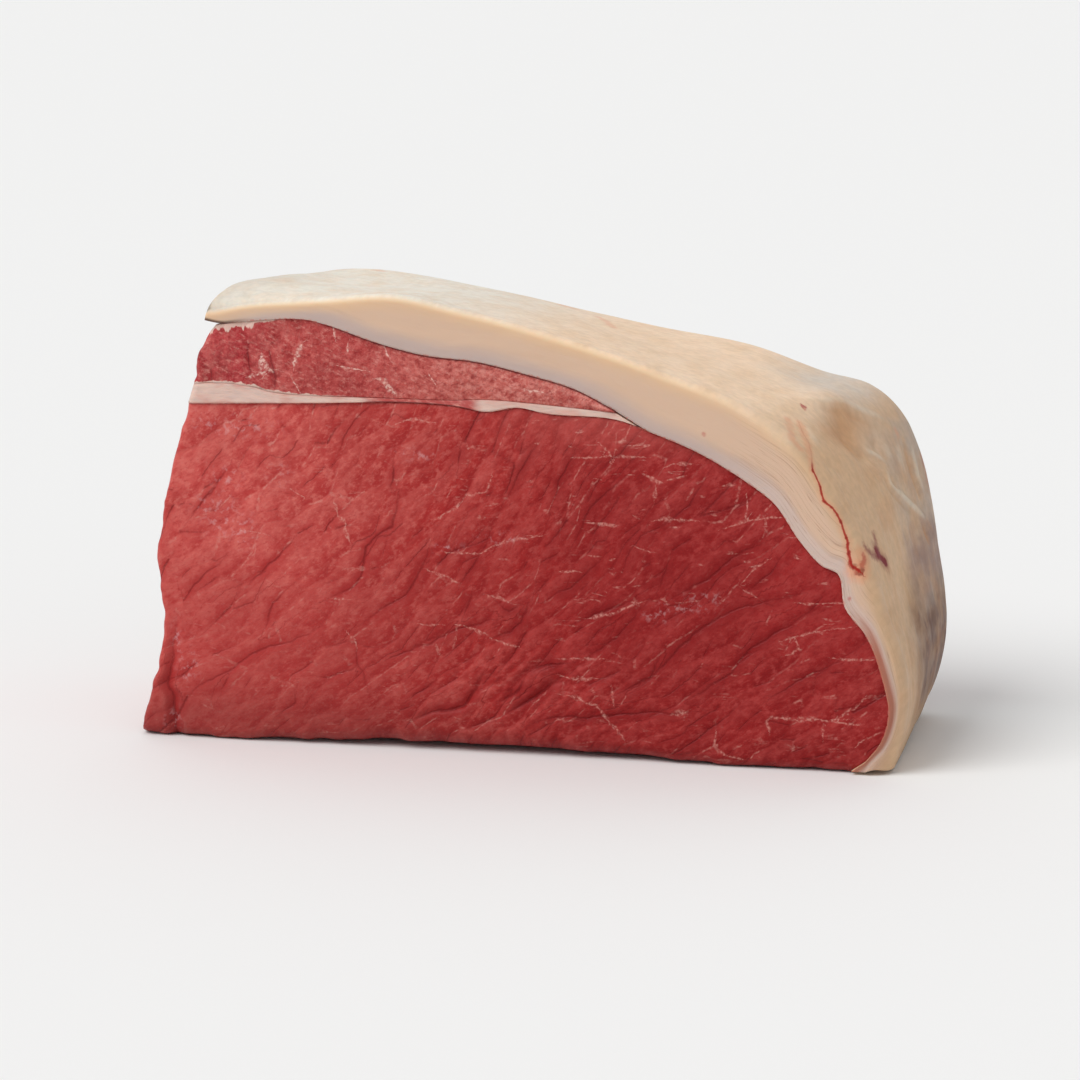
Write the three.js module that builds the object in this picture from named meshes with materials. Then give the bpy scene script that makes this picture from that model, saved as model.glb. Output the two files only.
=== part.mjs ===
// A raw beef topside joint, cut square across the muscle. Millimetres, +Z up, standing on Z = 0.
// The cut face looks along -Y. The large eye muscle carries a thin cap muscle, with a seam of fat between
// them, and a cover of fat runs over the top and down the right side.

import * as THREE from "three";

// Driving dimensions
const depth = 90; // from the cut face to the rear face
const layerGap = 0.3; // clearance between neighbouring layers
const centreShift = 3.7; // moves the profile so that the origin lies under the middle of the joint

// How the profile changes from the cut face to the rear face
const rearDrop = { share: 0.02, from: 10, to: 75 }; // share of height lost by the muscles, fading out over X
const sideLean = { perHeight: 0.26, footTuck: 7, from: 20, to: 100 }; // of the right side, setting in over X
const leftWave = { height: 1.8, perHeight: 13, perDepth: 5, from: 70, to: 112 }; // unevenness of the left side

// Rounding of the cut edges
const frontRound = { left: 2.5, base: 3.5, coverLeft: 2.5, coverRight: 7 };
const rearRound = { left: 4, base: 4, coverLeft: 6, coverRight: 8 };
const coverTurn = { from: 0.45, to: 0.75 }; // share of the cover over which its rounding grows
const frontLip = { height: 4.2, reach: 16, fade: 30, middle: -12, halfWidth: 75 }; // curl of the base edge

// Relief of the cut faces
const grain = { angle: 38, across: 12.5, along: 27, bend: 1.4, height: 0.7 };
const crumple = { x: 2, z: 20, reachX: 30, reachZ: 17, slant: 0.7, height: 1.1, wavelength: 10.5 };
const tailCrease = { x: -108.5, halfWidth: 2.6, top: 38, fade: 20, depth: 2.4 };
const capRipple = { height: 0.35, perX: 4.1, perZ: 2.3, patch: 7.3 };
const eyeSwell = 1.6;
const capSwell = 0.8;
const coverStandsOut = 0.3;

// Folds of the cover's outer face, at shares u of its length and w of the depth
const flapSwell = { height: 4.7, reach: 0.075 };
const hollow = { u: 0.672, w: 0.5, reachU: 0.03, reachW: 0.16, height: -2.6 };
const dimple = { u: 0.705, w: 0.56, reachU: 0.02, reachW: 0.12, height: -1.6 };
const shelf = { u: 0.635, w: 0.6, reachU: 0.025, reachW: 0.3, height: 1.1 };
const knob = { u: 0.82, w: 0.81, reachU: 0.02, reachW: 0.09, height: 1.2 };
const coverRipple = { height: 0.5, perLength: 19, perDepth: 4 };

// Mesh density
const capColumns = 26;
const wallColumns = 26;
const slices = 10;
const evenSlices = 0.4; // one for even slices, zero for slices that crowd towards the cut faces
const rows = { eye: 20, seam: 1, cap: 6, cover: 4 };

// Lines of the cut face, as X and Z
const leftEdgeOfEye = [[-120, 0], [-116.5, 12], [-112, 36], [-113.5, 54], [-110, 76], [-103, 101.5]];
const leftEdgeOfCap = [[-101, 107.5], [-99, 117], [-94, 125]];
const eyeRoof = [
  [-103, 101.5], [-60, 103], [-37, 104], [-22, 103.5], [-11, 102], [-2, 103.5], [7, 102], [27, 101],
  [38, 97.5], [52, 92], [66, 84], [74, 78], [81, 68], [87.5, 61], [92.5, 58.5], [94.5, 49],
  [101, 40.5], [106, 27], [107.5, 17], [104, 7], [97, 1],
];
const seamRoof = [
  [-101, 107.5], [-91, 108], [-82, 107], [-75, 105.5], [-37, 105], [-22, 105], [-11, 105.5],
  [0, 105], [27, 103],
];
const capRoof = [
  [-94, 125], [-83, 126.5], [-67, 127.5], [-59, 126], [-45, 121.5], [-30, 118], [-14, 116.5],
  [0, 113.5], [15, 109.5], [26.5, 104],
];
const flapTip = [-96.5, 126.5]; // the cover overhangs the cap muscle here
const coverCorner = [28.5, 103.5]; // the cover meets the seam's end here
const coverRidge = [
  [-96, 129.5], [-84, 132], [-58, 134], [-40, 135], [-20, 131.5], [8, 125], [37, 116], [64, 106],
  [81.5, 92], [98.5, 66], [105.5, 48], [111, 32.5], [112.5, 22], [111.5, 12], [108.5, 1],
];
const rearRidge = [
  [-95, 128.5], [-86, 132.5], [-68, 134], [-28, 128], [20, 118.5], [51, 113.5], [74, 106],
  [90, 101.5], [99, 93.5], [105, 80], [110.5, 54], [113, 39], [113, 26], [109, 9], [105, 1],
];
const ridgeOverCapTip = 0.477; // share of the ridge's length that lies over the cap muscle
const roofUnderSeam = 0.497; // share of the eye's roof that lies under the seam

const colours = { eye: 0xa03236, cap: 0xb9554f, seam: 0xd8b8a4, cover: 0xe2c8ac };

const { clamp, degToRad, lerp, smoothstep } = THREE.MathUtils;

const flat = ([x, z]) => new THREE.Vector3(x, 0, z);

// A smooth line through points of the cut face
const lineThrough = (points) => {
  const curve = new THREE.CatmullRomCurve3(points.map(flat), false, "centripetal");
  curve.arcLengthDivisions = 1000;
  return curve;
};

// The point at a share of a line's length, moved sideways: a positive shift goes to its left, upwards for a
// line that runs to the right
const pointAt = (curve, share, shift = 0) => {
  const tangent = curve.getTangentAt(share);
  const normal = new THREE.Vector3(-tangent.z, 0, tangent.x);
  return curve.getPointAt(share).addScaledVector(normal, shift);
};

// The columns under the cap muscle and those on the wall are spaced apart from each other, so a share of
// the columns becomes a share of a line
const bend = (u, split) => {
  const turn = capColumns / (capColumns + wallColumns);
  return u <= turn ? (split * u) / turn : split + ((1 - split) * (u - turn)) / (1 - turn);
};

const half = layerGap / 2;
const eyeLeft = lineThrough(leftEdgeOfEye);
const capLeft = lineThrough(leftEdgeOfCap);
const eyeTop = lineThrough(eyeRoof);
const seamTop = lineThrough(seamRoof);
const capTop = lineThrough(capRoof);
const ridge = lineThrough(coverRidge);
const ridgeAtRear = lineThrough(rearRidge);

// The inner face of the cover runs over the cap muscle, and then down the eye muscle
const coverFloor = (u) => {
  const turn = capColumns / (capColumns + wallColumns);
  if (u === 0) return flat(flapTip);
  if (u === turn) return flat(coverCorner);
  return u < turn ? pointAt(capTop, u / turn, half) : pointAt(eyeTop, bend(u, roofUnderSeam), half);
};

// Each layer's outline on the cut face: a floor and a roof that run to the right, and a left edge that runs up
const outlines = {
  eye: {
    floor: (u) => new THREE.Vector3(lerp(leftEdgeOfEye[0][0], eyeRoof.at(-1)[0] - half, u), 0, 0),
    roof: (u) => pointAt(eyeTop, bend(u, roofUnderSeam), -half),
    left: (v) => pointAt(eyeLeft, v),
  },
  seam: {
    floor: (u) => pointAt(eyeTop, u * roofUnderSeam, half),
    roof: (u) => pointAt(seamTop, u, -half),
  },
  cap: {
    floor: (u) => pointAt(seamTop, u, half),
    roof: (u) => pointAt(capTop, u, -half),
    left: (v) => pointAt(capLeft, v),
  },
  cover: {
    floor: coverFloor,
    roof: (u) => pointAt(ridge, bend(u, ridgeOverCapTip)),
    rearRoof: (u) => pointAt(ridgeAtRear, bend(u, ridgeOverCapTip)),
  },
};

// A Coons patch: the point at column share u and row share v of a layer's outline
const inside = ({ floor, roof, left }, u, v) => {
  const rib = floor(u).lerp(roof(u), v);
  if (!left) return rib;
  const straight = floor(0).lerp(roof(0), v);
  return rib.addScaledVector(left(v).sub(straight), 1 - u);
};

// How far a quarter-round edge falls back at a distance from the edge
const roundOff = (distance, radius) => {
  const rest = clamp(1 - distance / radius, 0, 1);
  return radius * (1 - Math.sqrt(1 - rest * rest));
};

// Long swells along the grain of the eye muscle, with a crumpled patch low in its middle
const eyeRelief = (x, z) => {
  const turn = degToRad(grain.angle);
  const along = x * Math.cos(turn) + z * Math.sin(turn);
  const across = z * Math.cos(turn) - x * Math.sin(turn);
  const wander = grain.bend * Math.sin((2 * Math.PI * along) / grain.along);
  const swell = grain.height * Math.sin((2 * Math.PI * across) / grain.across + wander);
  const away = ((x - crumple.x) / crumple.reachX) ** 2 + ((z - crumple.z) / crumple.reachZ) ** 2;
  const crossing = (2 * Math.PI * (z + crumple.slant * x)) / crumple.wavelength;
  const folds = crumple.height * Math.exp(-away) * Math.sin(crossing);
  const fromCrease = (x - tailCrease.x) / tailCrease.halfWidth;
  const belowTop = smoothstep(tailCrease.top - z, 0, tailCrease.fade);
  const crease = tailCrease.depth * Math.exp(-fromCrease * fromCrease) * belowTop;
  return swell + folds - crease;
};

const capRelief = (x, z) => {
  const { height, perX, perZ, patch } = capRipple;
  return height * Math.sin(x / perX + z / perZ) * Math.sin(x / patch);
};

// How far each layer's cut face stands out, and how it rounds off towards the outside
const faces = {
  eye: (point, u, v, left, rounds) => {
    const swell = eyeSwell * Math.sin(Math.PI * u) * Math.sqrt(Math.sin(Math.PI * v));
    const edges = roundOff(point.x - left.x, rounds.left) + roundOff(point.z, rounds.base);
    return swell + eyeRelief(point.x, point.z) - edges;
  },
  seam: (point, u, v, left, rounds) => -roundOff(point.x - left.x, rounds.left),
  cap: (point, u, v, left, rounds) => {
    const swell = capSwell * Math.sin(Math.PI * v) + capRelief(point.x, point.z);
    return swell - roundOff(point.x - left.x, rounds.left);
  },
  cover: (point, u, v, left, rounds, thickness) => {
    const radius = lerp(rounds.coverLeft, rounds.coverRight, smoothstep(u, coverTurn.from, coverTurn.to));
    return coverStandsOut - roundOff((1 - v) * thickness, Math.min(radius, thickness));
  },
};

const bump = (form, u, w) => {
  const away = ((u - form.u) / form.reachU) ** 2 + ((w - form.w) / form.reachW) ** 2;
  return form.height * Math.exp(-away);
};

// Folds and hollows of the cover's outer face, which fade out towards the muscle
const coverFolds = (u, v, w) => {
  const flap = flapSwell.height * Math.exp(-((u / flapSwell.reach) ** 2)) * Math.sin(Math.PI * Math.sqrt(w));
  const wave = Math.sin(coverRipple.perLength * u + coverRipple.perDepth * w);
  const ripple = coverRipple.height * wave * Math.sin(Math.PI * w);
  const forms = [hollow, dimple, shelf, knob].reduce((sum, form) => sum + bump(form, u, w), 0);
  return v * v * (flap + ripple + forms);
};

// The profile's own change from the cut face to the rear face
const warp = ({ x, z }, w) => {
  const lean = w * (sideLean.perHeight * z - sideLean.footTuck);
  const ripple = Math.sin(z / leftWave.perHeight + leftWave.perDepth * w) * Math.sin(Math.PI * w);
  const wave = leftWave.height * ripple * smoothstep(-x, leftWave.from, leftWave.to);
  const drop = rearDrop.share * w * (1 - smoothstep(x, rearDrop.from, rearDrop.to));
  const moved = x + lean * smoothstep(x, sideLean.from, sideLean.to) + wave;
  return new THREE.Vector3(moved, 0, z * (1 - drop));
};

// The base edge curls up off the table along the middle of the cut face
const lipLift = (x, z, fromFront) => {
  const reach = clamp(1 - fromFront / frontLip.reach, 0, 1);
  const along = Math.cos((Math.PI / 2) * clamp((x - frontLip.middle) / frontLip.halfWidth, -1, 1));
  return frontLip.height * reach * reach * along * clamp(1 - z / frontLip.fade, 0, 1);
};

// The cover's inner face follows the muscles, and its outer face has a line of its own at the rear
const coverPoint = (u, v, w) => {
  const { floor, roof, rearRoof } = outlines.cover;
  const inner = warp(floor(u), w);
  const outer = roof(u).lerp(rearRoof(u), w);
  const outward = outer.clone().sub(inner).normalize();
  return inner.lerp(outer, v).addScaledVector(outward, coverFolds(u, v, w));
};

// Where a layer's material lies, for shares u and v of its outline and w of the depth
const place = (name, u, v, w) => {
  const outline = outlines[name];
  const point = inside(outline, u, v);
  const left = inside(outline, 0, v);
  const thickness = outline.floor(u).distanceTo(outline.roof(u));
  const front = -depth / 2 - faces[name](point, u, v, left, frontRound, thickness);
  const rear = depth / 2 + faces[name](point, u, v, left, rearRound, thickness);
  const moved = name === "cover" ? coverPoint(u, v, w) : warp(point, w);
  const y = lerp(front, rear, w);
  return new THREE.Vector3(moved.x + centreShift, y, moved.z + lipLift(point.x, point.z, y + depth / 2));
};

// Shares of the depth, closer together near the two cut faces
const sliceShare = (k) => {
  const even = k / slices;
  return lerp((1 - Math.cos(Math.PI * even)) / 2, even, evenSlices);
};

// The six sides of a block of columns, rows and slices, as one closed mesh facing out
const blockGeometry = (columns, rowCount, locate) => {
  const counts = [columns, rowCount, slices];
  const positions = [];
  const numbers = new Map();
  const numberOf = (i, j, k) => {
    const key = (i * (rowCount + 1) + j) * (slices + 1) + k;
    if (!numbers.has(key)) {
      numbers.set(key, positions.length / 3);
      positions.push(...locate(i / columns, j / rowCount, sliceShare(k)).toArray());
    }
    return numbers.get(key);
  };
  const index = [];
  // fixed is the axis of the side, and first and second run over it
  const addSide = (fixed, end, first, second) => {
    for (let a = 0; a < counts[first]; a++) {
      for (let b = 0; b < counts[second]; b++) {
        const corners = [[0, 0], [1, 0], [1, 1], [0, 1]].map(([da, db]) => {
          const at = [0, 0, 0];
          at[fixed] = end * counts[fixed];
          at[first] = a + da;
          at[second] = b + db;
          return numberOf(...at);
        });
        index.push(corners[0], corners[1], corners[2], corners[0], corners[2], corners[3]);
      }
    }
  };
  addSide(2, 0, 0, 1);
  addSide(2, 1, 1, 0);
  addSide(1, 0, 2, 0);
  addSide(1, 1, 0, 2);
  addSide(0, 0, 1, 2);
  addSide(0, 1, 2, 1);
  const geometry = new THREE.BufferGeometry();
  geometry.setAttribute("position", new THREE.Float32BufferAttribute(positions, 3));
  geometry.setIndex(index);
  geometry.computeVertexNormals();
  return geometry;
};

const layer = (name, meshName, columns, roughness) => {
  const geometry = blockGeometry(columns, rows[name], (u, v, w) => place(name, u, v, w));
  const material = new THREE.MeshStandardMaterial({ color: colours[name], roughness, metalness: 0 });
  const mesh = new THREE.Mesh(geometry, material);
  mesh.name = meshName;
  return mesh;
};

const joint = new THREE.Group();
joint.add(layer("eye", "eye_muscle", capColumns + wallColumns, 0.45));
joint.add(layer("seam", "seam_fat", capColumns, 0.5));
joint.add(layer("cap", "cap_muscle", capColumns, 0.45));
joint.add(layer("cover", "fat_cover", capColumns + wallColumns, 0.5));

export default joint;
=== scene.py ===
"""Looks of a raw beef topside joint: lean meat, a seam and a cover of fat, on a pale floor.

The four layers are built again as finer meshes from the profile of the solids, and stand for them.
Lengths are millimetres until a mesh is made. Pixels are those of the 1080 pixel wide photograph.
"""

import math

import bpy
import numpy as np
from mathutils import Matrix


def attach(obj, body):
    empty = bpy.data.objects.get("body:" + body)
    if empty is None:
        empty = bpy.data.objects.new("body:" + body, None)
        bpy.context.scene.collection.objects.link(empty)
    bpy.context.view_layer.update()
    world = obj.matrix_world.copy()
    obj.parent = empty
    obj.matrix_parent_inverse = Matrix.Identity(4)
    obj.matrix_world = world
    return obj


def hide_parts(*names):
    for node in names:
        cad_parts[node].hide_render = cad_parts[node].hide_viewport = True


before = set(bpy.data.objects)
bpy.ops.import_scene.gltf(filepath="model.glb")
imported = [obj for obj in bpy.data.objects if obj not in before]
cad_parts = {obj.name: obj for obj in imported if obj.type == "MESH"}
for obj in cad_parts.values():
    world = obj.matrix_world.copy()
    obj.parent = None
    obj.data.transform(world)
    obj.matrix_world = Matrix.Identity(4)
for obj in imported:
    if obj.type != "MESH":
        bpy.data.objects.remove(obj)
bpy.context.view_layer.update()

METRES = 0.001

# The profile, with the same values as the solids, apart from the clearance between the layers
DEPTH = 90.0
LAYER_GAP = 0.08
CENTRE_SHIFT = 3.7
REAR_DROP = {"share": 0.02, "from": 10, "to": 75}
SIDE_LEAN = {"per_height": 0.26, "foot_tuck": 7, "from": 20, "to": 100}
LEFT_WAVE = {"height": 1.8, "per_height": 13, "per_depth": 5, "from": 70, "to": 112}
FRONT_ROUND = {"left": 2.5, "base": 3.5, "cover_left": 2.5, "cover_right": 7}
REAR_ROUND = {"left": 4, "base": 4, "cover_left": 6, "cover_right": 8}
COVER_TURN = (0.45, 0.75)
FRONT_LIP = {"height": 4.2, "reach": 16, "fade": 30, "middle": -12, "half_width": 75}
EYE_SWELL = 1.6
CAP_SWELL = 0.8
COVER_STANDS_OUT = 0.3
TAIL_CREASE = {"x": -109, "half_width": 1.8, "top": 42, "fade": 26, "depth": 1.6}
CRUMPLE = {"x": 2, "z": 20, "reach_x": 30, "reach_z": 17}
FLAP_SWELL = {"height": 4.7, "reach": 0.075}
COVER_FORMS = [  # share of the length, share of the depth, reaches along both, height
    (0.672, 0.5, 0.03, 0.16, -2.6), (0.705, 0.56, 0.02, 0.12, -1.6),
    (0.635, 0.6, 0.025, 0.3, 1.1), (0.82, 0.81, 0.02, 0.09, 1.2),
]
COVER_RIPPLE = {"height": 0.5, "per_length": 19, "per_depth": 4}
COVER_RUN = 265  # length of the cover from the flap's tip to the foot
EVEN_SLICES = 0.4
TURN = 0.5  # share of the columns that lies over the cap muscle
FLAP_COLUMN = 1 / 52  # share of the columns between the flap's tip and the cap muscle
RIDGE_OVER_CAP_TIP = 0.477
ROOF_UNDER_SEAM = 0.497

LEFT_EDGE_OF_EYE = [(-120, 0), (-116.5, 12), (-112, 36), (-113.5, 54), (-110, 76), (-103, 101.5)]
LEFT_EDGE_OF_CAP = [(-101, 107.5), (-99, 117), (-94, 125)]
EYE_ROOF = [
    (-103, 101.5), (-60, 103), (-37, 104), (-22, 103.5), (-11, 102), (-2, 103.5), (7, 102), (27, 101),
    (38, 97.5), (52, 92), (66, 84), (74, 78), (81, 68), (87.5, 61), (92.5, 58.5), (94.5, 49),
    (101, 40.5), (106, 27), (107.5, 17), (104, 7), (97, 1),
]
SEAM_ROOF = [
    (-101, 107.5), (-91, 108), (-82, 107), (-75, 105.5), (-37, 105), (-22, 105), (-11, 105.5),
    (0, 105), (27, 103),
]
CAP_ROOF = [
    (-94, 125), (-83, 126.5), (-67, 127.5), (-59, 126), (-45, 121.5), (-30, 118), (-14, 116.5),
    (0, 113.5), (15, 109.5), (26.5, 104),
]
FLAP_TIP = (-96.5, 126.5)
COVER_CORNER = (27.4, 103.5)
COVER_RIDGE = [
    (-96, 129.5), (-84, 132), (-58, 134), (-40, 135), (-20, 131.5), (8, 125), (37, 116), (64, 106),
    (81.5, 92), (98.5, 66), (105.5, 48), (111, 32.5), (112.5, 22), (111.5, 12), (108.5, 1),
]
REAR_RIDGE = [
    (-95, 128.5), (-86, 132.5), (-68, 134), (-28, 128), (20, 118.5), (51, 113.5), (74, 106),
    (90, 101.5), (99, 93.5), (105, 80), (110.5, 54), (113, 39), (113, 26), (109, 9), (105, 1),
]


# Mesh density: columns, rows and slices, doubled on the front cut face
DENSITY = {
    "eye": (180, 84, 44), "seam": (120, 4, 30), "cap": (130, 24, 36), "cover": (280, 12, 100),
}
BLOCK_SIDES = [  # the axis that a side is square to, its end, and the two axes that run over it
    (2, 0, 0, 1), (2, 1, 1, 0), (1, 0, 2, 0), (1, 1, 0, 2), (0, 0, 1, 2), (0, 1, 2, 1),
]
FRONT_SEED, REAR_SEED, SIDE_SEED = 3, 103, 203
FAR = 99.0  # a distance that something always comes below
NO_LINE = 9.0  # a signed distance at which no line shows
NO_MARK = 40.0  # millimetres at which no mark shows

# The camera of the photograph
AZIMUTH = math.radians(13.5)
ELEVATION = math.radians(10)
CAMERA_DISTANCE = 1100.0
PICTURE = 1080
MM_PER_PIXEL = 0.294
BASE_MIDDLE_PX = (524, 757)  # the middle of the cut face's base line
SENSOR = 36.0
FACE_SWELL = 1.0  # how far the cut face stands out on average

# The studio
LIGHTS = [  # name, position, strength, softness in degrees
    ("key", (-1.0, -1.1, 1.5), 1.9, 40), ("fill", (0.9, -1.6, 0.7), 0.2, 60),
    ("back", (-0.4, 1.3, 1.5), 0.35, 60),
]
SKY_STRENGTH = 0.5
FLOOR_SIZE = 30
FLOOR_SHADE = (0.86, 0.86, 0.855, 1.0)
CLIP_END = 50

# Creases of the eye muscle's cut face: depth in millimetres, then pixels
CREASES = [
    (1.3, [(398, 496), (392, 527), (380, 532), (365, 547), (360, 578), (352, 589), (331, 598)]),
    (1.1, [(393, 465), (391, 488)]), (1.0, [(213, 486), (190, 517)]), (0.9, [(223, 473), (205, 501)]),
    (1.1, [(290, 542), (272, 562), (249, 584)]), (0.9, [(218, 563), (190, 589), (172, 612)]),
    (0.9, [(460, 450), (458, 465)]), (0.7, [(370, 405), (352, 420), (338, 450)]),
    (1.0, [(427, 553), (421, 568), (406, 597), (394, 602), (369, 619)]), (0.9, [(481, 553), (461, 584)]),
    (0.9, [(232, 601), (228, 610), (211, 626)]), (1.0, [(283, 593), (271, 604), (269, 614), (263, 629)]),
    (1.0, [(317, 628), (308, 636), (291, 642), (271, 647), (248, 656), (232, 669), (198, 688), (184, 702)]),
    (0.9, [(418, 647), (405, 654), (385, 663)]), (0.8, [(357, 669), (350, 672), (326, 681), (317, 680)]),
    (0.7, [(295, 697), (294, 706), (278, 720)]), (0.8, [(228, 678), (221, 691)]),
    (0.5, [(355, 643), (356, 667), (361, 675), (365, 690)]), (0.9, [(470, 597), (463, 615)]),
    (1.0, [(529, 604), (520, 623), (511, 632), (492, 638)]),
    (0.9, [(518, 606), (509, 611), (503, 609), (498, 604)]),
    (1.1, [(492, 621), (478, 624), (455, 630), (428, 645), (407, 652)]),
    (1.3, [(627, 603), (603, 612), (581, 621)]), (1.5, [(565, 664), (546, 667), (533, 673)]),
    (2.2, [(559, 682), (548, 693), (529, 708), (515, 717), (504, 725)]),
    (2.0, [(524, 684), (518, 697), (500, 708)]),
    (2.2, [(483, 678), (474, 695), (463, 715), (454, 719), (424, 725), (409, 733)]),
    (1.0, [(659, 656), (650, 680), (618, 697)]),
    (1.2, [(688, 715), (666, 717), (622, 721), (585, 725), (557, 726), (533, 736)]),
    (1.0, [(433, 688), (418, 699), (409, 706)]), (0.7, [(622, 480), (590, 507), (575, 539)]),
    (0.7, [(669, 562), (659, 589)]), (1.1, [(760, 545), (734, 557), (709, 579), (672, 599)]),
    (1.1, [(790, 597), (729, 611), (699, 631), (667, 661), (645, 686), (632, 696)]),
    (1.1, [(812, 612), (751, 649), (744, 656), (732, 674), (709, 688), (689, 701)]),
    (0.7, [(600, 560), (575, 585), (548, 600)]), (0.7, [(640, 430), (618, 455), (600, 470)]),
    (0.6, [(705, 480), (690, 505), (660, 530)]), (0.7, [(540, 440), (520, 470), (505, 500)]),
    (0.7, [(575, 450), (560, 480), (552, 505)]), (0.8, [(640, 610), (615, 640), (590, 655)]),
    (0.7, [(780, 560), (770, 575), (748, 590)]), (0.7, [(845, 660), (800, 680), (770, 700)]),
]

# Places on the cut face: pixel, then reaches in millimetres; a pit's last number is its depth
# The glints are painted highlights: wet spots painted pale into the lean's colour at these places
GLINTS = [
    ((205, 423), 5, 3), ((240, 428), 9, 3), ((277, 475), 3, 3), ((224, 478), 4, 3), ((219, 516), 5, 6),
    ((240, 531), 4, 5), ((200, 509), 3, 3), ((186, 668), 3, 5), ((174, 642), 1.6, 5), ((171, 722), 2.5, 3),
    ((416, 455), 6, 1.5), ((500, 539), 5, 1.5), ((447, 548), 4, 1.5), ((657, 616), 4, 2),
    ((684, 607), 7, 1.8), ((706, 599), 5, 1.6),
]
CAP_PITS = [((228, 362), 3.5, 1.2), ((245, 358), 5.0, 0.9), ((283, 335), 4.0, 0.8), ((262, 352), 3.0, 0.6)]

# Fat in the lean: width in millimetres, then pixels
EYE_MARBLING = [
    (0.9, [(334, 506), (336, 517), (344, 522), (345, 532), (348, 542)]),
    (0.8, [(438, 518), (455, 508), (468, 495), (486, 491), (491, 478)]),
    (0.6, [(540, 536), (504, 542), (481, 553), (445, 553)]), (0.7, [(428, 571), (456, 582)]),
    (0.7, [(488, 596), (512, 604)]), (0.5, [(421, 625), (442, 625)]),
    (0.8, [(458, 625), (470, 627), (488, 636)]), (0.6, [(496, 641), (517, 647)]),
    (0.6, [(290, 491), (300, 497)]), (0.5, [(245, 532), (264, 535)]),
    (0.9, [(349, 635), (353, 640), (355, 647)]), (0.7, [(334, 599), (345, 600)]),
    (0.8, [(653, 521), (674, 519), (693, 521)]), (0.6, [(722, 529), (744, 522), (771, 518), (779, 519)]),
    (0.6, [(744, 522), (747, 507), (746, 497)]), (0.7, [(600, 445), (608, 452), (610, 461)]),
    (0.6, [(667, 467), (672, 465), (692, 465)]), (0.7, [(653, 502), (656, 488)]),
    (0.5, [(572, 458), (607, 457), (645, 458)]), (0.6, [(743, 582), (754, 570), (766, 562)]),
    (0.7, [(744, 591), (756, 598)]), (0.5, [(796, 604), (841, 605)]),
    (0.5, [(853, 628), (809, 634), (784, 641)]), (0.8, [(796, 642), (799, 650), (786, 656)]),
    (0.6, [(832, 659), (846, 661), (876, 662)]), (0.6, [(560, 659), (601, 659)]),
    (0.7, [(560, 679), (575, 682), (600, 681)]), (1.0, [(560, 700), (575, 703), (595, 712)]),
    (1.0, [(595, 712), (607, 728), (622, 747)]), (0.6, [(612, 693), (613, 707)]),
    (1.3, [(674, 717), (684, 714)]), (0.9, [(768, 734), (766, 723), (771, 718)]),
    (1.0, [(771, 718), (791, 722), (801, 722), (824, 724)]),
    (0.7, [(824, 724), (834, 722), (853, 711), (863, 701)]), (0.5, [(824, 724), (858, 726)]),
    (0.5, [(822, 725), (822, 741)]), (0.7, [(715, 734), (714, 748), (724, 756), (739, 761)]),
    (1.4, [(632, 605), (640, 603)]), (0.7, [(585, 619), (612, 614), (630, 606)]),
    (0.5, [(635, 548), (650, 552)]), (0.5, [(560, 572), (577, 572)]), (0.6, [(863, 741), (856, 748)]),
    (0.6, [(395, 425), (410, 419), (430, 423)]),
]
CAP_MARBLING = [
    (1.3, [(302, 345), (297, 352), (294, 364)]), (2.0, [(261, 357), (264, 368), (270, 369)]),
    (0.9, [(268, 371), (249, 377)]), (1.3, [(376, 380), (386, 382), (394, 393)]),
    (0.6, [(381, 344), (388, 357)]), (0.8, [(348, 343), (347, 351)]), (0.5, [(332, 329), (334, 338)]),
    (0.7, [(523, 390), (542, 393)]), (0.4, [(336, 366), (369, 372)]), (0.5, [(292, 380), (298, 392)]),
    (0.5, [(428, 374), (434, 384)]),
]

# Marks on the cover's outer face, in pixels
VEIN = [
    (799, 423), (802, 430), (808, 441), (811, 456), (813, 470), (815, 475), (819, 483), (822, 495),
    (824, 501), (831, 507), (837, 514), (842, 524), (845, 534), (848, 541), (847, 548), (849, 556),
    (852, 565), (859, 571),
]
VEIN_TOP = [(803, 405), (804, 408)]
VEIN_POOLS = [[(857, 571), (860, 571)], [(862, 565), (864, 560), (864, 557)]]
CLOTS = [[(851, 564), (855, 568)], [(859, 571), (861, 571)]]
BRUISES = [[(877, 552), (881, 558), (886, 563)]]
BRUISE_STREAKS = [[(873, 534), (876, 542), (878, 550)], [(865, 547), (871, 554), (878, 557)]]
STAINS = [
    [(560, 305), (575, 309)], [(598, 317), (606, 321), (612, 327)], [(376, 270), (381, 271)],
    [(789, 420), (793, 440), (800, 449)], [(800, 423), (806, 441), (812, 470)], [(896, 432), (898, 435)],
]
SPECKS = [[(703, 434), (704, 435)], [(849, 599), (849, 600)]]
RED_RIMS = [  # pixel, axis that it runs along, half its length in millimetres
    ((314, 276), 0, 6.0), ((243, 285), 0, 4.0), ((929, 475), 2, 9.0),
]
RIM_DROP = 12.0  # millimetres below a rim's middle at which its red ends
MARKS = [  # field, millimetres that are covered and that fade out, share, colour, raggedness
    ("stain", 0.2, 2.2, 0.4, "stain", 1.0), ("streak", 0.3, 1.9, 0.5, "bruise", 1.2),
    ("streak", -0.2, 1.2, 0.45, "bruise", 1.0), ("bruise", 1.8, 2.4, 0.35, "bruise", 1.0),
    ("bruise", 0.9, 1.2, 0.97, "bruise", 0.8), ("pool", 1.4, 3.6, 0.5, "stain", 1.0),
    ("pool", 0.4, 1.2, 0.6, "blood", 1.0), ("clot", 0.3, 1.0, 0.7, "clot", 1.0),
    ("speck", 0.5, 1.2, 0.75, "rim", 1.0), ("front_speck", -0.1, 1.0, 0.6, "rim", 0.3),
]
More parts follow.
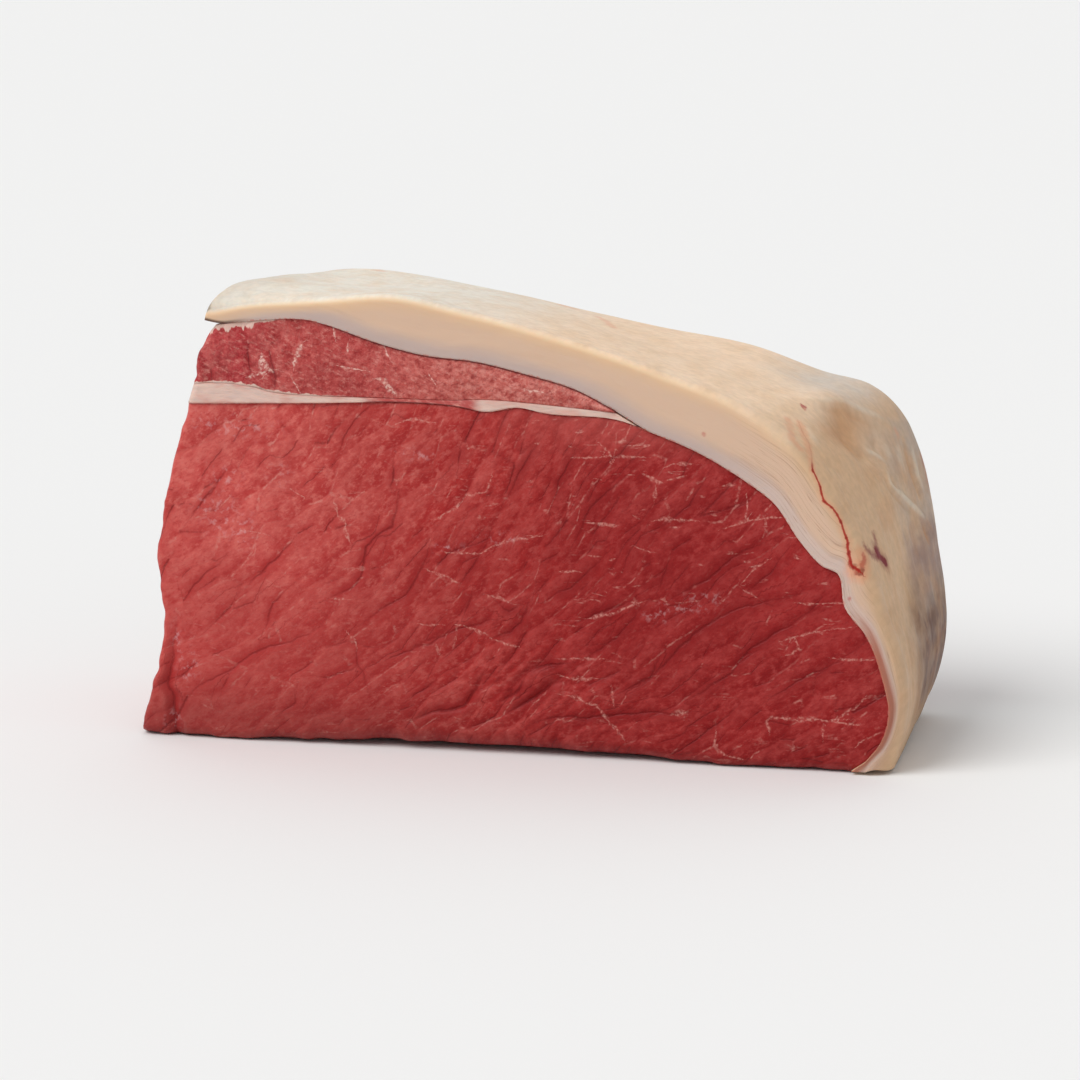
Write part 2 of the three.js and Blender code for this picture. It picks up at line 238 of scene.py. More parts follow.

# Folds of the cover's outer face: height, half-width in millimetres and share of paleness, then pixels. The
# paleness is pale membrane and painted highlight on the ridges; below zero it is painted shade beside them
FOLDS = [
    (0.7, 5.0, 0.0, [(745, 404), (800, 398), (850, 403), (880, 416), (905, 438)]),
    (0.5, 1.5, 0.5, [(806, 401), (845, 404), (869, 415), (893, 428)]),
    (-0.5, 2.0, -0.45, [(815, 408), (845, 412), (866, 423), (884, 436)]),
    (-0.4, 4.0, -0.1, [(838, 415), (846, 426), (842, 440), (828, 442)]),
    (-0.5, 1.6, -0.35, [(857, 460), (864, 454), (869, 455)]),
    (0.6, 1.1, 0.6, [(864, 447), (868, 452), (874, 455), (885, 463)]),
    (0.7, 1.2, 0.7, [(886, 464), (887, 474), (891, 484), (903, 498), (915, 508), (927, 519)]),
    (-0.6, 1.3, -0.5, [(884, 474), (888, 487), (900, 502), (912, 514)]),
    (-0.5, 1.6, -0.35, [(875, 434), (874, 443), (873, 451)]),
    (0.5, 2.4, 0.4, [(883, 440), (887, 452), (892, 462)]),
    (-0.7, 2.2, -0.7, [(903, 430), (906, 452), (912, 473), (919, 491), (926, 509)]),
    (0.6, 2.2, 0.6, [(908, 440), (912, 458), (917, 478), (924, 496)]),
    (0.5, 2.6, 0.4, [(896, 440), (899, 458), (904, 476)]),
    (-0.5, 1.8, -0.4, [(892, 470), (894, 482), (899, 492)]),
    (0.9, 1.6, -0.3, [(926, 522), (931, 531), (934, 543)]),
    (-0.7, 1.4, -0.8, [(922, 524), (927, 535), (931, 548)]),
    (-0.4, 2.0, -0.2, [(818, 452), (826, 463), (845, 475), (852, 490)]),
    (0.4, 2.4, 0.3, [(806, 425), (813, 438), (820, 452)]),
    (-0.5, 2.6, 0.0, [(790, 425), (800, 450), (806, 480), (822, 510), (838, 545), (850, 580)]),
    (0.5, 3.0, 0.0, [(780, 430), (790, 460), (805, 500), (828, 540), (845, 575), (862, 605)]),
    (-0.5, 4.0, 0.0, [(880, 590), (897, 640), (912, 680)]),
    (0.4, 3.0, 0.0, [(905, 590), (920, 620), (930, 640)]),
]

# Colours of the finished materials
HEX = {
    "lean_left": "c0504b", "lean": "9f2725", "lean_right": "8d1c1c", "lean_red": "7c0e11",
    "lean_crease_shade": "66090c", "lean_red_left": "a62e2d", "lean_far": "a32c2b", "glint": "d8b2b3",
    "lean_pink": "cb6a61", "lean_rose": "a83f3c", "cap_middle": "ae423f", "cap_rose": "be625c",
    "cap_left": "ae3237", "cap_right": "bd5c53", "cap_red": "82191c", "cap_dark_and_shade": "5c1418",
    "cap_pink": "dc968a", "marbling": "cf9084", "white_thread": "e6bfb2", "membrane": "c6a8ae",
    "seam": "d6b7aa", "seam_pink": "c98a7e", "fat_inner": "b9a49c", "fat_face": "cfb098",
    "fat_crest": "d8b48e", "fat_top": "e7dfd1", "fat_crown": "efd1b3", "fat_side": "d4b08d",
    "fat_grey": "b3a59a", "fat_shoulder": "ccbfb2", "fat_hollow": "c08a5e", "fat_brown_and_shade": "552a1e",
    "fat_pale": "d8ccba", "fat_skin": "d0b9ac", "fat_purple": "7c5a5c", "fat_crest_highlight": "f3dab2",
    "peel": "987360", "gap": "2a1512", "blood": "aa1a12", "clot": "5e0d0c", "inner_peach": "a55f49",
    "bruise": "7a0a1e", "stain": "dd9370", "rim": "ac262e",
}


def linear(code):
    """The linear colour of a display colour"""
    shares = [int(code[k:k + 2], 16) / 255 for k in (0, 2, 4)]
    return tuple(s / 12.92 if s <= 0.04045 else ((s + 0.055) / 1.055) ** 2.4 for s in shares) + (1.0,)


COLOURS = {name: linear(code) for name, code in HEX.items()}


def lerp(a, b, share):
    return a + (b - a) * share


def smooth(value, low, high):
    """Zero at low and one at high, with soft ends; low may be the larger"""
    share = np.clip((value - low) / (high - low), 0, 1)
    return share * share * (3 - 2 * share)


def fade(share, low, high):
    """One between two shares of a length, falling softly to zero at its ends"""
    return smooth(share, 0, low) * smooth(share, 1, high)


def bell(value, reach):
    return np.exp(-(value / reach) ** 2)


# Random fields

def lattice_random(i, j, seed):
    """A repeatable number from zero to one for each place of a whole-number grid"""
    mixed = (i.astype(np.int64) * 73856093 ^ j.astype(np.int64) * 19349663 ^ seed * 83492791) & 0xFFFFFFFF
    mixed = ((mixed ^ (mixed >> 15)) * 2246822519) & 0xFFFFFFFF
    mixed = ((mixed ^ (mixed >> 13)) * 3266489917) & 0xFFFFFFFF
    return ((mixed ^ (mixed >> 16)) & 0xFFFFFF) / 0xFFFFFF


def noise(x, y, seed):
    """Smooth noise from minus one to one, with forms about one unit wide"""
    i, j = np.floor(x), np.floor(y)
    sx, sy = (f ** 3 * (f * (f * 6 - 15) + 10) for f in (x - i, y - j))
    low = lerp(lattice_random(i, j, seed), lattice_random(i + 1, j, seed), sx)
    high = lerp(lattice_random(i, j + 1, seed), lattice_random(i + 1, j + 1, seed), sx)
    return 2 * lerp(low, high, sy) - 1


def rough_noise(x, y, seed, octaves=3):
    """Noise of several sizes, each half as large and half as strong"""
    total = 0
    for k in range(octaves):
        total = total + 0.5 ** k * noise(x * 2 ** k + 5.2 * k, y * 2 ** k - 3.7 * k, seed + k)
    return total / (2 - 0.5 ** (octaves - 1))


def cells(along, across, length, width, seed):
    """Jittered cells of about that length and width, in rows that run along the grain. Each point gets its
    cell's own values: the millimetres to the cell's edge, with a sign that changes from row to row, how far
    that edge runs along the grain, the offset from the middle, and random numbers of the cell and the edge"""
    x, y = along / length, across / width
    i, j = np.floor(x), np.floor(y)

    def middle(di, dj):
        ci, cj = i + di, j + dj
        jitter_x, jitter_y, tone = (lattice_random(ci, cj, seed + k) for k in range(3))
        row = cj % 2
        return ci + 0.5 * row + 0.5 + 0.75 * (jitter_x - 0.5), cj + 0.5 + 0.7 * (jitter_y - 0.5), tone, row

    nearest = np.full(x.shape, FAR)
    own = np.zeros((4,) + x.shape)
    for di, dj in np.ndindex(4, 3):
        cell = middle(di - 2, dj - 1)
        away = (x - cell[0]) ** 2 + (y - cell[1]) ** 2
        own = np.where(away < nearest, cell, own)
        nearest = np.minimum(away, nearest)
    mx, my, tone, row = own
    edge, lengthwise, pair = np.full(x.shape, FAR), np.zeros(x.shape), np.zeros(x.shape)
    for di, dj in np.ndindex(6, 5):
        cx, cy, other_tone, _ = middle(di - 3, dj - 2)
        dx, dy = cx - mx, cy - my
        apart = np.hypot(dx, dy)
        other = apart > 1e-6
        apart = np.where(other, apart, 1)
        gap = ((x - cx) ** 2 + (y - cy) ** 2 - nearest) / (2 * apart)
        steep = np.maximum(np.hypot(dx / apart / length, dy / apart / width), 1e-9)
        gap = np.where(other, gap / steep, FAR)
        closer = gap < edge
        edge = np.where(closer, gap, edge)
        lengthwise = np.where(closer, np.abs(dy / apart / width) / steep, lengthwise)
        pair = np.where(closer, (other_tone + tone) % 1, pair)
    return {"edge": edge, "signed": edge * (1 - 2 * row), "lengthwise": lengthwise, "along": x - mx,
            "across": y - my, "tone": tone, "pair": pair}


# The profile

class Line:
    """A smooth line through points, read by shares of its length"""

    def __init__(self, points, steps=300):
        p = np.array(points, float)
        ends = np.vstack([2 * p[0] - p[1], p, 2 * p[-1] - p[-2]])
        parts = []
        for k in range(len(p) - 1):
            p0, p1, p2, p3 = ends[k:k + 4]
            d0, d1, d2 = (np.sum((b - a) ** 2) ** 0.25 for a, b in ((p0, p1), (p1, p2), (p2, p3)))
            t1 = ((p1 - p0) / d0 - (p2 - p0) / (d0 + d1) + (p2 - p1) / d1) * d1
            t2 = ((p2 - p1) / d1 - (p3 - p1) / (d1 + d2) + (p3 - p2) / d2) * d1
            t = np.linspace(0, 1, steps, endpoint=False)[:, None]
            cubic = (2 * (p1 - p2) + t1 + t2) * t ** 3 + (3 * (p2 - p1) - 2 * t1 - t2) * t ** 2
            parts.append(p1 + t1 * t + cubic)
        self.points = np.vstack(parts + [p[-1:]])
        self.reached = np.concatenate([[0], np.cumsum(np.hypot(*np.diff(self.points, axis=0).T))])

    def at(self, share, shift=0.0):
        """The X and Z at shares of the length, moved to the line's left by shift"""
        far = self.reached[-1]
        there = np.clip(share, 0, 1) * far

        def read(distance):
            distance = np.clip(distance, 0, far)
            return np.stack([np.interp(distance, self.reached, self.points[:, k]) for k in (0, 1)])

        ahead = read(there + 0.05) - read(there - 0.05)
        ahead /= np.hypot(*ahead)
        return read(there) + shift * np.stack([-ahead[1], ahead[0]])


HALF_GAP = LAYER_GAP / 2
eye_left, cap_left = Line(LEFT_EDGE_OF_EYE), Line(LEFT_EDGE_OF_CAP)
eye_top, seam_top, cap_top = Line(EYE_ROOF), Line(SEAM_ROOF), Line(CAP_ROOF)
ridge, rear_ridge = Line(COVER_RIDGE), Line(REAR_RIDGE)


def bend(u, split):
    """A share of the columns becomes a share of a line, because they are spaced apart on either side"""
    return np.where(u <= TURN, split * u / TURN, split + (1 - split) * (u - TURN) / (1 - TURN))


def cover_floor(u):
    """The cover's inner face, from the flap's tip over the cap muscle and down the eye muscle"""
    over_cap = cap_top.at(u / TURN, HALF_GAP)
    down = eye_top.at(bend(u, ROOF_UNDER_SEAM), HALF_GAP)
    corner = np.array(COVER_CORNER)[:, None]
    tip = np.array(FLAP_TIP)[:, None]
    to_tip = np.clip(1 - u / FLAP_COLUMN, 0, 1)
    over_cap = over_cap + (tip - cap_top.at(0.0, HALF_GAP)[:, None]) * to_tip ** 2
    to_corner = np.clip(1 - (TURN - u) / (FLAP_COLUMN / 3), 0, 1)
    over_cap = over_cap + (corner - cap_top.at(1.0, HALF_GAP)[:, None]) * to_corner
    from_corner = np.clip(1 - (u - TURN) / FLAP_COLUMN, 0, 1)
    down = down + (corner - eye_top.at(ROOF_UNDER_SEAM, HALF_GAP)[:, None]) * from_corner ** 2
    return np.where(u <= TURN, over_cap, down)


def floor_of(name, u):
    if name == "eye":
        x = lerp(LEFT_EDGE_OF_EYE[0][0], EYE_ROOF[-1][0] - HALF_GAP, u)
        return np.stack([x, np.zeros_like(x)])
    if name == "seam":
        return eye_top.at(u * ROOF_UNDER_SEAM, HALF_GAP)
    return seam_top.at(u, HALF_GAP) if name == "cap" else cover_floor(u)


def roof_of(name, u):
    if name == "eye":
        return eye_top.at(bend(u, ROOF_UNDER_SEAM), -HALF_GAP)
    if name == "seam":
        return seam_top.at(u, -HALF_GAP)
    return cap_top.at(u, -HALF_GAP) if name == "cap" else ridge.at(bend(u, RIDGE_OVER_CAP_TIP))


def inside(name, u, v):
    """A layer's point at a column share u and a row share v, as X and Z of the cut face"""
    point = lerp(floor_of(name, u), roof_of(name, u), v)
    edge = {"eye": eye_left, "cap": cap_left}.get(name)
    if edge is None:
        return point
    zero = np.zeros(1)
    straight = lerp(floor_of(name, zero), roof_of(name, zero), v)
    return point + (edge.at(v) - straight) * (1 - u)


def round_off(distance, radius):
    """How far a quarter-round edge falls back at a distance from the edge"""
    rest = np.clip(1 - distance / radius, 0, 1)
    return radius * (1 - np.sqrt(1 - rest * rest))


def warp(point, w):
    """The profile's own change from the cut face to the rear face"""
    x, z = point
    lean = w * (SIDE_LEAN["per_height"] * z - SIDE_LEAN["foot_tuck"])
    ripple = np.sin(z / LEFT_WAVE["per_height"] + LEFT_WAVE["per_depth"] * w) * np.sin(np.pi * w)
    wave = LEFT_WAVE["height"] * ripple * smooth(-x, LEFT_WAVE["from"], LEFT_WAVE["to"])
    drop = REAR_DROP["share"] * w * (1 - smooth(x, REAR_DROP["from"], REAR_DROP["to"]))
    return np.stack([x + lean * smooth(x, SIDE_LEAN["from"], SIDE_LEAN["to"]) + wave, z * (1 - drop)])


def lip_lift(point, from_front):
    """The base edge curls up off the table along the middle of the cut face"""
    x, z = point
    reach = np.clip(1 - from_front / FRONT_LIP["reach"], 0, 1)
    off = np.clip((x - FRONT_LIP["middle"]) / FRONT_LIP["half_width"], -1, 1)
    uneven = 0.9 * noise(x / 11, x * 0, 601) + 0.6 * noise(x / 4.5, x * 0, 602)
    height = FRONT_LIP["height"] * np.cos(np.pi / 2 * off) + uneven + 0.3
    return np.maximum(height, 0) * reach ** 2 * np.clip(1 - z / FRONT_LIP["fade"], 0, 1)


def cover_folds(u, v, w):
    """Folds and hollows of the cover's outer face, which fade out towards the muscle"""
    flap = FLAP_SWELL["height"] * bell(u, FLAP_SWELL["reach"]) * np.sin(np.pi * np.sqrt(w))
    wave = np.sin(COVER_RIPPLE["per_length"] * u + COVER_RIPPLE["per_depth"] * w)
    forms = sum(h * bell(u - fu, ru) * bell(w - fw, rw) for fu, fw, ru, rw, h in COVER_FORMS)
    return v * v * (flap + COVER_RIPPLE["height"] * wave * np.sin(np.pi * w) + forms)


# Pixels of the photograph

BACK = np.array([math.sin(AZIMUTH) * math.cos(ELEVATION), -math.cos(AZIMUTH) * math.cos(ELEVATION),
                 math.sin(ELEVATION)])
RIGHT = np.array([math.cos(AZIMUTH), math.sin(AZIMUTH), 0.0])
UP = np.cross(BACK, RIGHT)
FOCAL_PX = CAMERA_DISTANCE / MM_PER_PIXEL
MIDDLE = PICTURE / 2
EYE_POINT = (
    np.array([CENTRE_SHIFT, -DEPTH / 2, 0.0]) + BACK * CAMERA_DISTANCE
    + RIGHT * (MIDDLE - BASE_MIDDLE_PX[0]) * MM_PER_PIXEL - UP * (MIDDLE - BASE_MIDDLE_PX[1]) * MM_PER_PIXEL
)


def to_pixels(points):
    """The pixels at which points show"""
    away = points - EYE_POINT
    scale = -FOCAL_PX / (away @ BACK)
    return np.stack([MIDDLE + scale * (away @ RIGHT), MIDDLE - scale * (away @ UP)], 1)


def on_cut_face(pixels):
    """X and Z of the cut face's profile, before the part's own shift, at pixels"""
    px = np.array(pixels, float)
    rays = -BACK * FOCAL_PX + np.outer(px[:, 0] - MIDDLE, RIGHT) - np.outer(px[:, 1] - MIDDLE, UP)
    hit = EYE_POINT + rays * ((-DEPTH / 2 - FACE_SWELL - EYE_POINT[1]) / rays[:, 1])[:, None]
    return np.stack([hit[:, 0] - CENTRE_SHIFT, hit[:, 2]], 1)


def on_surface(pixels, points, normals):
    """The places on a surface that show at pixels, from its points and normals"""
    faces_camera = np.einsum("ij,ij->i", normals, EYE_POINT - points) > 0
    seen, shown = points[faces_camera], to_pixels(points[faces_camera])
    places = []
    for pixel in pixels:
        away = np.sum((shown - pixel) ** 2, 1)
        near = np.argsort(away)[:5]
        weights = 1 / (away[near] + 0.3)
        places.append(weights @ seen[near] / weights.sum())
    return np.array(places)


def to_line(points, line, normals=None):
    """Millimetres from points to a line of straight stretches, below zero on its left side, and the share of
    the line's length at the nearest place"""
    steps = np.diff(line, axis=0)
    lengths = np.sqrt((steps ** 2).sum(1))
    reached = np.concatenate([[0], np.cumsum(lengths)])
    best = np.full(len(points), np.inf)
    side, share = np.ones(len(points)), np.zeros(len(points))
    for start, step, length, before in zip(line, steps, lengths, reached):
        off = points - start
        along = np.clip(off @ step / length ** 2, 0, 1)
        distance = np.sqrt(((off - along[:, None] * step) ** 2).sum(1))
        if normals is None:
            turned = step[0] * off[:, 1] - step[1] * off[:, 0]
        else:
            turned = np.einsum("ij,ij->i", np.cross(step, off), normals)
        nearer = distance < best
        best = np.where(nearer, distance, best)
        side = np.where(nearer, np.where(turned > 0, -1.0, 1.0), side)
        share = np.where(nearer, (before + along * length) / reached[-1], share)
    return best * side, share


def drawn_lines(points, lines):
    """How far each point is from a set of lines with widths, as a signed distance over half the width of the
    nearest, and one near a line falling to zero beyond it"""
    signed, near = np.full(len(points), FAR), np.zeros(len(points))
    for width, line in lines:
        distance, share = to_line(points, line)
        taper = 0.45 + 0.55 * np.sin(np.pi * np.clip(share, 0.06, 0.94)) ** 0.5
        scaled = distance / (width / 2 * taper)
        signed = np.where(np.abs(scaled) < np.abs(signed), scaled, signed)
        near = np.maximum(near, smooth(np.abs(distance), width / 2 + 1.9, width / 2 + 0.9))
    return np.clip(signed, -NO_LINE, NO_LINE), near


# Relief

def grain_of(x, z):
    """Distances along and across the muscle bundles of the cut face, which fan out over it"""
    along = 0.85 * x + 0.6 * z + 3.5 * rough_noise(x / 23 + 9, z / 19, 21, 2)
    across = 0.47 * x + 0.37 * 50 * np.tanh(x / 50) - 0.88 * z + 0.17 * z * z / 105
    return along, across + 2.4 * rough_noise(x / 21, z / 17, 11, 2)


def bundles(along, across, length, width, seed, share):
    """Muscle bundles that overlap like shingles. The height runs from about minus one half to one half: each
    bundle rises sharply at its upper edge and sinks towards the next. A share of the edges is a thin line of
    painted shade in the crease, and along each upper edge goes a painted highlight with paler membrane"""
    c = cells(along, across, length, width, seed)
    near_edge = np.exp(-c["edge"] / (0.16 * width))
    shingle = -0.9 * c["across"] + 0.35 * c["along"] * (c["tone"] - 0.5)
    height = 0.4 * (1 - near_edge) + shingle * (1 - bell(c["edge"], 0.3 + 0.06 * width)) - 0.2
    stretches = smooth(rough_noise(along / length, across / width / 1.5, seed + 40, 2), -0.6, 0.1)
    shown = smooth(c["pair"], 1 - share, 1.25 - share) * lerp(0.3, 1.0, c["lengthwise"] ** 2) * stretches
    webbed = smooth(rough_noise(along / length * 1.7 + 7, across / width, seed + 41, 2), -0.1, 0.3)
    # rim: where a painted highlight with paler membrane goes along the upper edge; shown: how much the
    # crease's painted shade line shows
    return {**c, "height": height, "shown": shown, "rim": near_edge * smooth(c["across"], 0.1, -0.3),
            "web": smooth(c["pair"], 0.5, 0.3) * webbed}


def painted(lines, near, web, lit_pale_rim, tone, high, crease=None, crease_near=0.0):
    """The fields of a relief: how far three sets of edges are, how much each shows, and the webs on them"""
    zero = np.zeros(len(tone))
    columns = {"lines": lines, "lines_near": near, "web": web}
    return {**{name: np.stack([zero + value for value in values], 1) for name, values in columns.items()},
            "crease": zero + NO_LINE if crease is None else crease, "crease_near": zero + crease_near,
            "lit_pale_rim": lit_pale_rim, "tone": tone, "high": high}


def eye_relief(x, z, seed, creases):
    """Height and painted fields of the eye muscle's cut face"""
    along, across = grain_of(x, z)
    away = ((x - CRUMPLE["x"]) / CRUMPLE["reach_x"]) ** 2 + ((z - CRUMPLE["z"]) / CRUMPLE["reach_z"]) ** 2
    streaky = smooth(x, 5, 55)
    wide = bundles(along, across, 21, 8.5, seed, 0.35)
    long = bundles(along, across, 38, 6.5, seed + 20, 0.4)
    small = bundles(along + 0.5 * across, across, 10, 4.6, seed + 7, 0.4)
    tiny = bundles(along, across + 2, 4.6, 2.3, seed + 13, 0.3)
    height = 0.6 * rough_noise(x / 30, z / 22, seed + 3, 2) + lerp(0.13, 0.1, streaky) * small["height"]
    height += lerp(0.24 * wide["height"], 0.2 * long["height"], streaky) + 0.07 * tiny["height"]
    height += np.exp(-away) * (0.7 * wide["height"] + 0.45 * small["height"] + 0.2 * tiny["height"])
    stretches = smooth(rough_noise(x / 26, z / 20, seed + 31, 2), -0.75, 0.0)
    near = [stretches * wide["shown"] * (1 - streaky), stretches * long["shown"] * streaky,
            stretches * 0.7 * small["shown"]]
    for strength, edges, depth in zip(near, (wide, long, small), (0.22, 0.16, 0.1)):
        height -= depth * strength * bell(edges["edge"], 0.75)
    # The rim gets a painted highlight with paler membrane, along the bundles' upper edges and below the named
    # creases
    rim = np.maximum(lerp(wide["rim"], long["rim"], streaky), 0.7 * small["rim"])
    # The named creases get a thin line of painted shade
    named, named_near = np.full(len(x), NO_LINE), np.zeros(len(x))
    for depth, line in creases:
        distance, share = to_line(np.stack([x, z], 1), line)
        below = 0.55 * rough_noise(x / 3.6, z / 3.6, seed + 61, 2) - distance
        strength = np.sin(np.pi * np.clip(share, 0.05, 0.95)) ** 0.5 * smooth(np.abs(below), 9, 3)
        step = np.sign(below) * np.exp(-np.abs(below) / (1.6 + 0.8 * depth)) * (1 - bell(below, 0.9))
        height += depth ** 1.5 * strength * (0.13 * step - 0.22 * bell(below, 0.5 + 0.25 * depth))
        nearer = np.abs(below) < np.abs(named)
        named = np.where(nearer, below / (0.6 + 0.4 * depth), named)
        named_near = np.where(nearer, strength * min(1.0, 0.55 + 0.3 * depth), named_near)
        lower = smooth(below, 0.0, 0.7) * smooth(below, 2.4, 0.9)
        rim = np.maximum(rim, lower * strength * min(1.0, 0.5 + 0.4 * depth))
    from_crease = x - TAIL_CREASE["x"] - np.sin(z / 5 + 1) - 0.8 * noise(z / 4, z * 0, seed + 71)
    beside_tail = smooth(TAIL_CREASE["top"] - z, 0, TAIL_CREASE["fade"])
    height -= TAIL_CREASE["depth"] * bell(from_crease, TAIL_CREASE["half_width"]) * beside_tail
    nearer = np.abs(from_crease) < 3
    return height - 0.9, painted(
        (wide["signed"], long["signed"], small["signed"]), near,
        (wide["web"] * (1 - streaky), 0.35 * long["web"] * streaky, small["web"]),
        # Then a painted highlight, a sheen, on the strip beside the tail crease
        np.maximum(rim, 0.8 * beside_tail * bell(from_crease + 2.6, 1.6)),
        0.5 * small["tone"] + 0.5 * lerp(wide["tone"], long["tone"], streaky),
        lerp(wide["height"], long["height"], streaky) + 0.7 * small["height"] + 0.3 * tiny["height"],
        np.where(nearer, from_crease / 1.3, named), np.where(nearer, beside_tail, named_near))


def cap_relief(x, z, seed):
    """Height and painted fields of the cap muscle's cut face, whose grain runs steeply"""
    left = smooth(x, -58, -80)
    coarse = bundles(0.25 * x - 0.97 * z + 1.5 * noise(x / 12, z / 9, 71), 0.97 * x + 0.25 * z,
                     9.5, 6.5, seed, 0.4)
    fine = bundles(0.9 * x - 0.43 * z + 2.0 * noise(x / 14, z / 9, 72),
                   0.43 * x + 0.9 * z + noise(x / 9, z / 7, 73), 5.0, 1.9, seed + 5, 0.3)
    height = 0.8 * left * coarse["height"] + 0.13 * fine["height"]
    height += 0.5 * lerp(0.6, 1.2, left) * rough_noise(x / 11, z / 8, seed + 9)
    for pixel, reach, depth in CAP_PITS:
        px, pz = on_cut_face([pixel])[0]
        height -= depth * bell(x - px, reach) * bell(z - pz, 0.7 * reach)
    return height - 0.4, painted(
        (coarse["signed"], fine["signed"], NO_LINE), (0.8 * coarse["shown"] * left, 0.2 * fine["shown"], 0.0),
        (coarse["web"] * left, 0.7 * fine["web"], 0.0), 0.7 * coarse["rim"] * left,
        lerp(fine["tone"], coarse["tone"], left), coarse["height"] * left + 0.5 * fine["height"])


def side_relief(round_the_side, y, seed):
    """Height and painted fields of a side that runs along the fibres"""
    along, across = y + 3 * noise(y / 25, round_the_side / 14, seed), round_the_side
    large = bundles(along, across + 2 * noise(y / 30, across / 18, seed + 1), 42, 8, seed, 0.5)
    small = bundles(along, across + 1.2 * noise(y / 18, across / 9, seed + 2), 17, 3.4, seed + 5, 0.4)
    return 0.7 * large["height"] + 0.25 * small["height"] - 0.5, painted(
        (large["signed"], NO_LINE, small["signed"]), (0.8 * large["shown"], 0.0, 0.5 * small["shown"]),
        (large["web"], 0.0, small["web"]), 0.5 * large["rim"], large["tone"],
        0.8 * large["height"] + 0.5 * small["height"])


# Meshes

class Block:
    """The six sides of a block of columns, rows and slices as one closed mesh. The front side, at slice zero,
    has twice as many columns and rows, so the faces beside it have five corners"""

    def __init__(self, columns, rows, slices):
        self.counts = (2 * columns, 2 * rows, slices)
        self.keys = []
        for fixed, end, first, second in BLOCK_SIDES:
            self.add_side(fixed, end, first, second, 1 if (fixed, end) == (2, 0) else 2)
        unique, numbers = np.unique(np.concatenate([k.ravel() for k in self.keys]), return_inverse=True)
        self.faces, start = [], 0
        for keys in self.keys:
            self.faces += numbers[start:start + keys.size].reshape(keys.shape).tolist()
            start += keys.size
        self.i, rest = np.divmod(unique, (self.counts[1] + 1) * (slices + 1))
        self.j, self.k = np.divmod(rest, slices + 1)

    def key(self, at):
        return (at[0] * (self.counts[1] + 1) + at[1]) * (self.counts[2] + 1) + at[2]

    def add_side(self, fixed, end, first, second, step):
        """Faces of one side: fixed is the axis it is square to, and first and second run over it"""
        steps = (step, step, 1)
        sa, sb = steps[first], steps[second]
        a, b = np.meshgrid(np.arange(0, self.counts[first], sa), np.arange(0, self.counts[second], sb),
                           indexing="ij")
        a, b = a.ravel(), b.ravel()

        def faces(corners):
            keys = []
            for da, db in corners:
                at = [np.full(a.shape, end * self.counts[fixed])] * 3
                at[first], at[second] = a + da, b + db
                keys.append(self.key(at))
            return np.stack(keys, 1)

        ring = [(0, 0), (sa, 0), (sa, sb), (0, sb)]
        if fixed == 2:
            self.keys.append(faces(ring))
            return
        if first == 2:
            at_front, five = a == 0, ring + [(0, sb // 2)]
        else:
            at_front, five = b == 0, ring[:1] + [(sa // 2, 0)] + ring[1:]
        self.keys += [faces(five)[at_front], faces(ring)[~at_front]]

    def shares(self):
        even = self.k / self.counts[2]
        w = lerp((1 - np.cos(np.pi * even)) / 2, even, EVEN_SLICES)
        return self.i / self.counts[0], self.j / self.counts[1], w


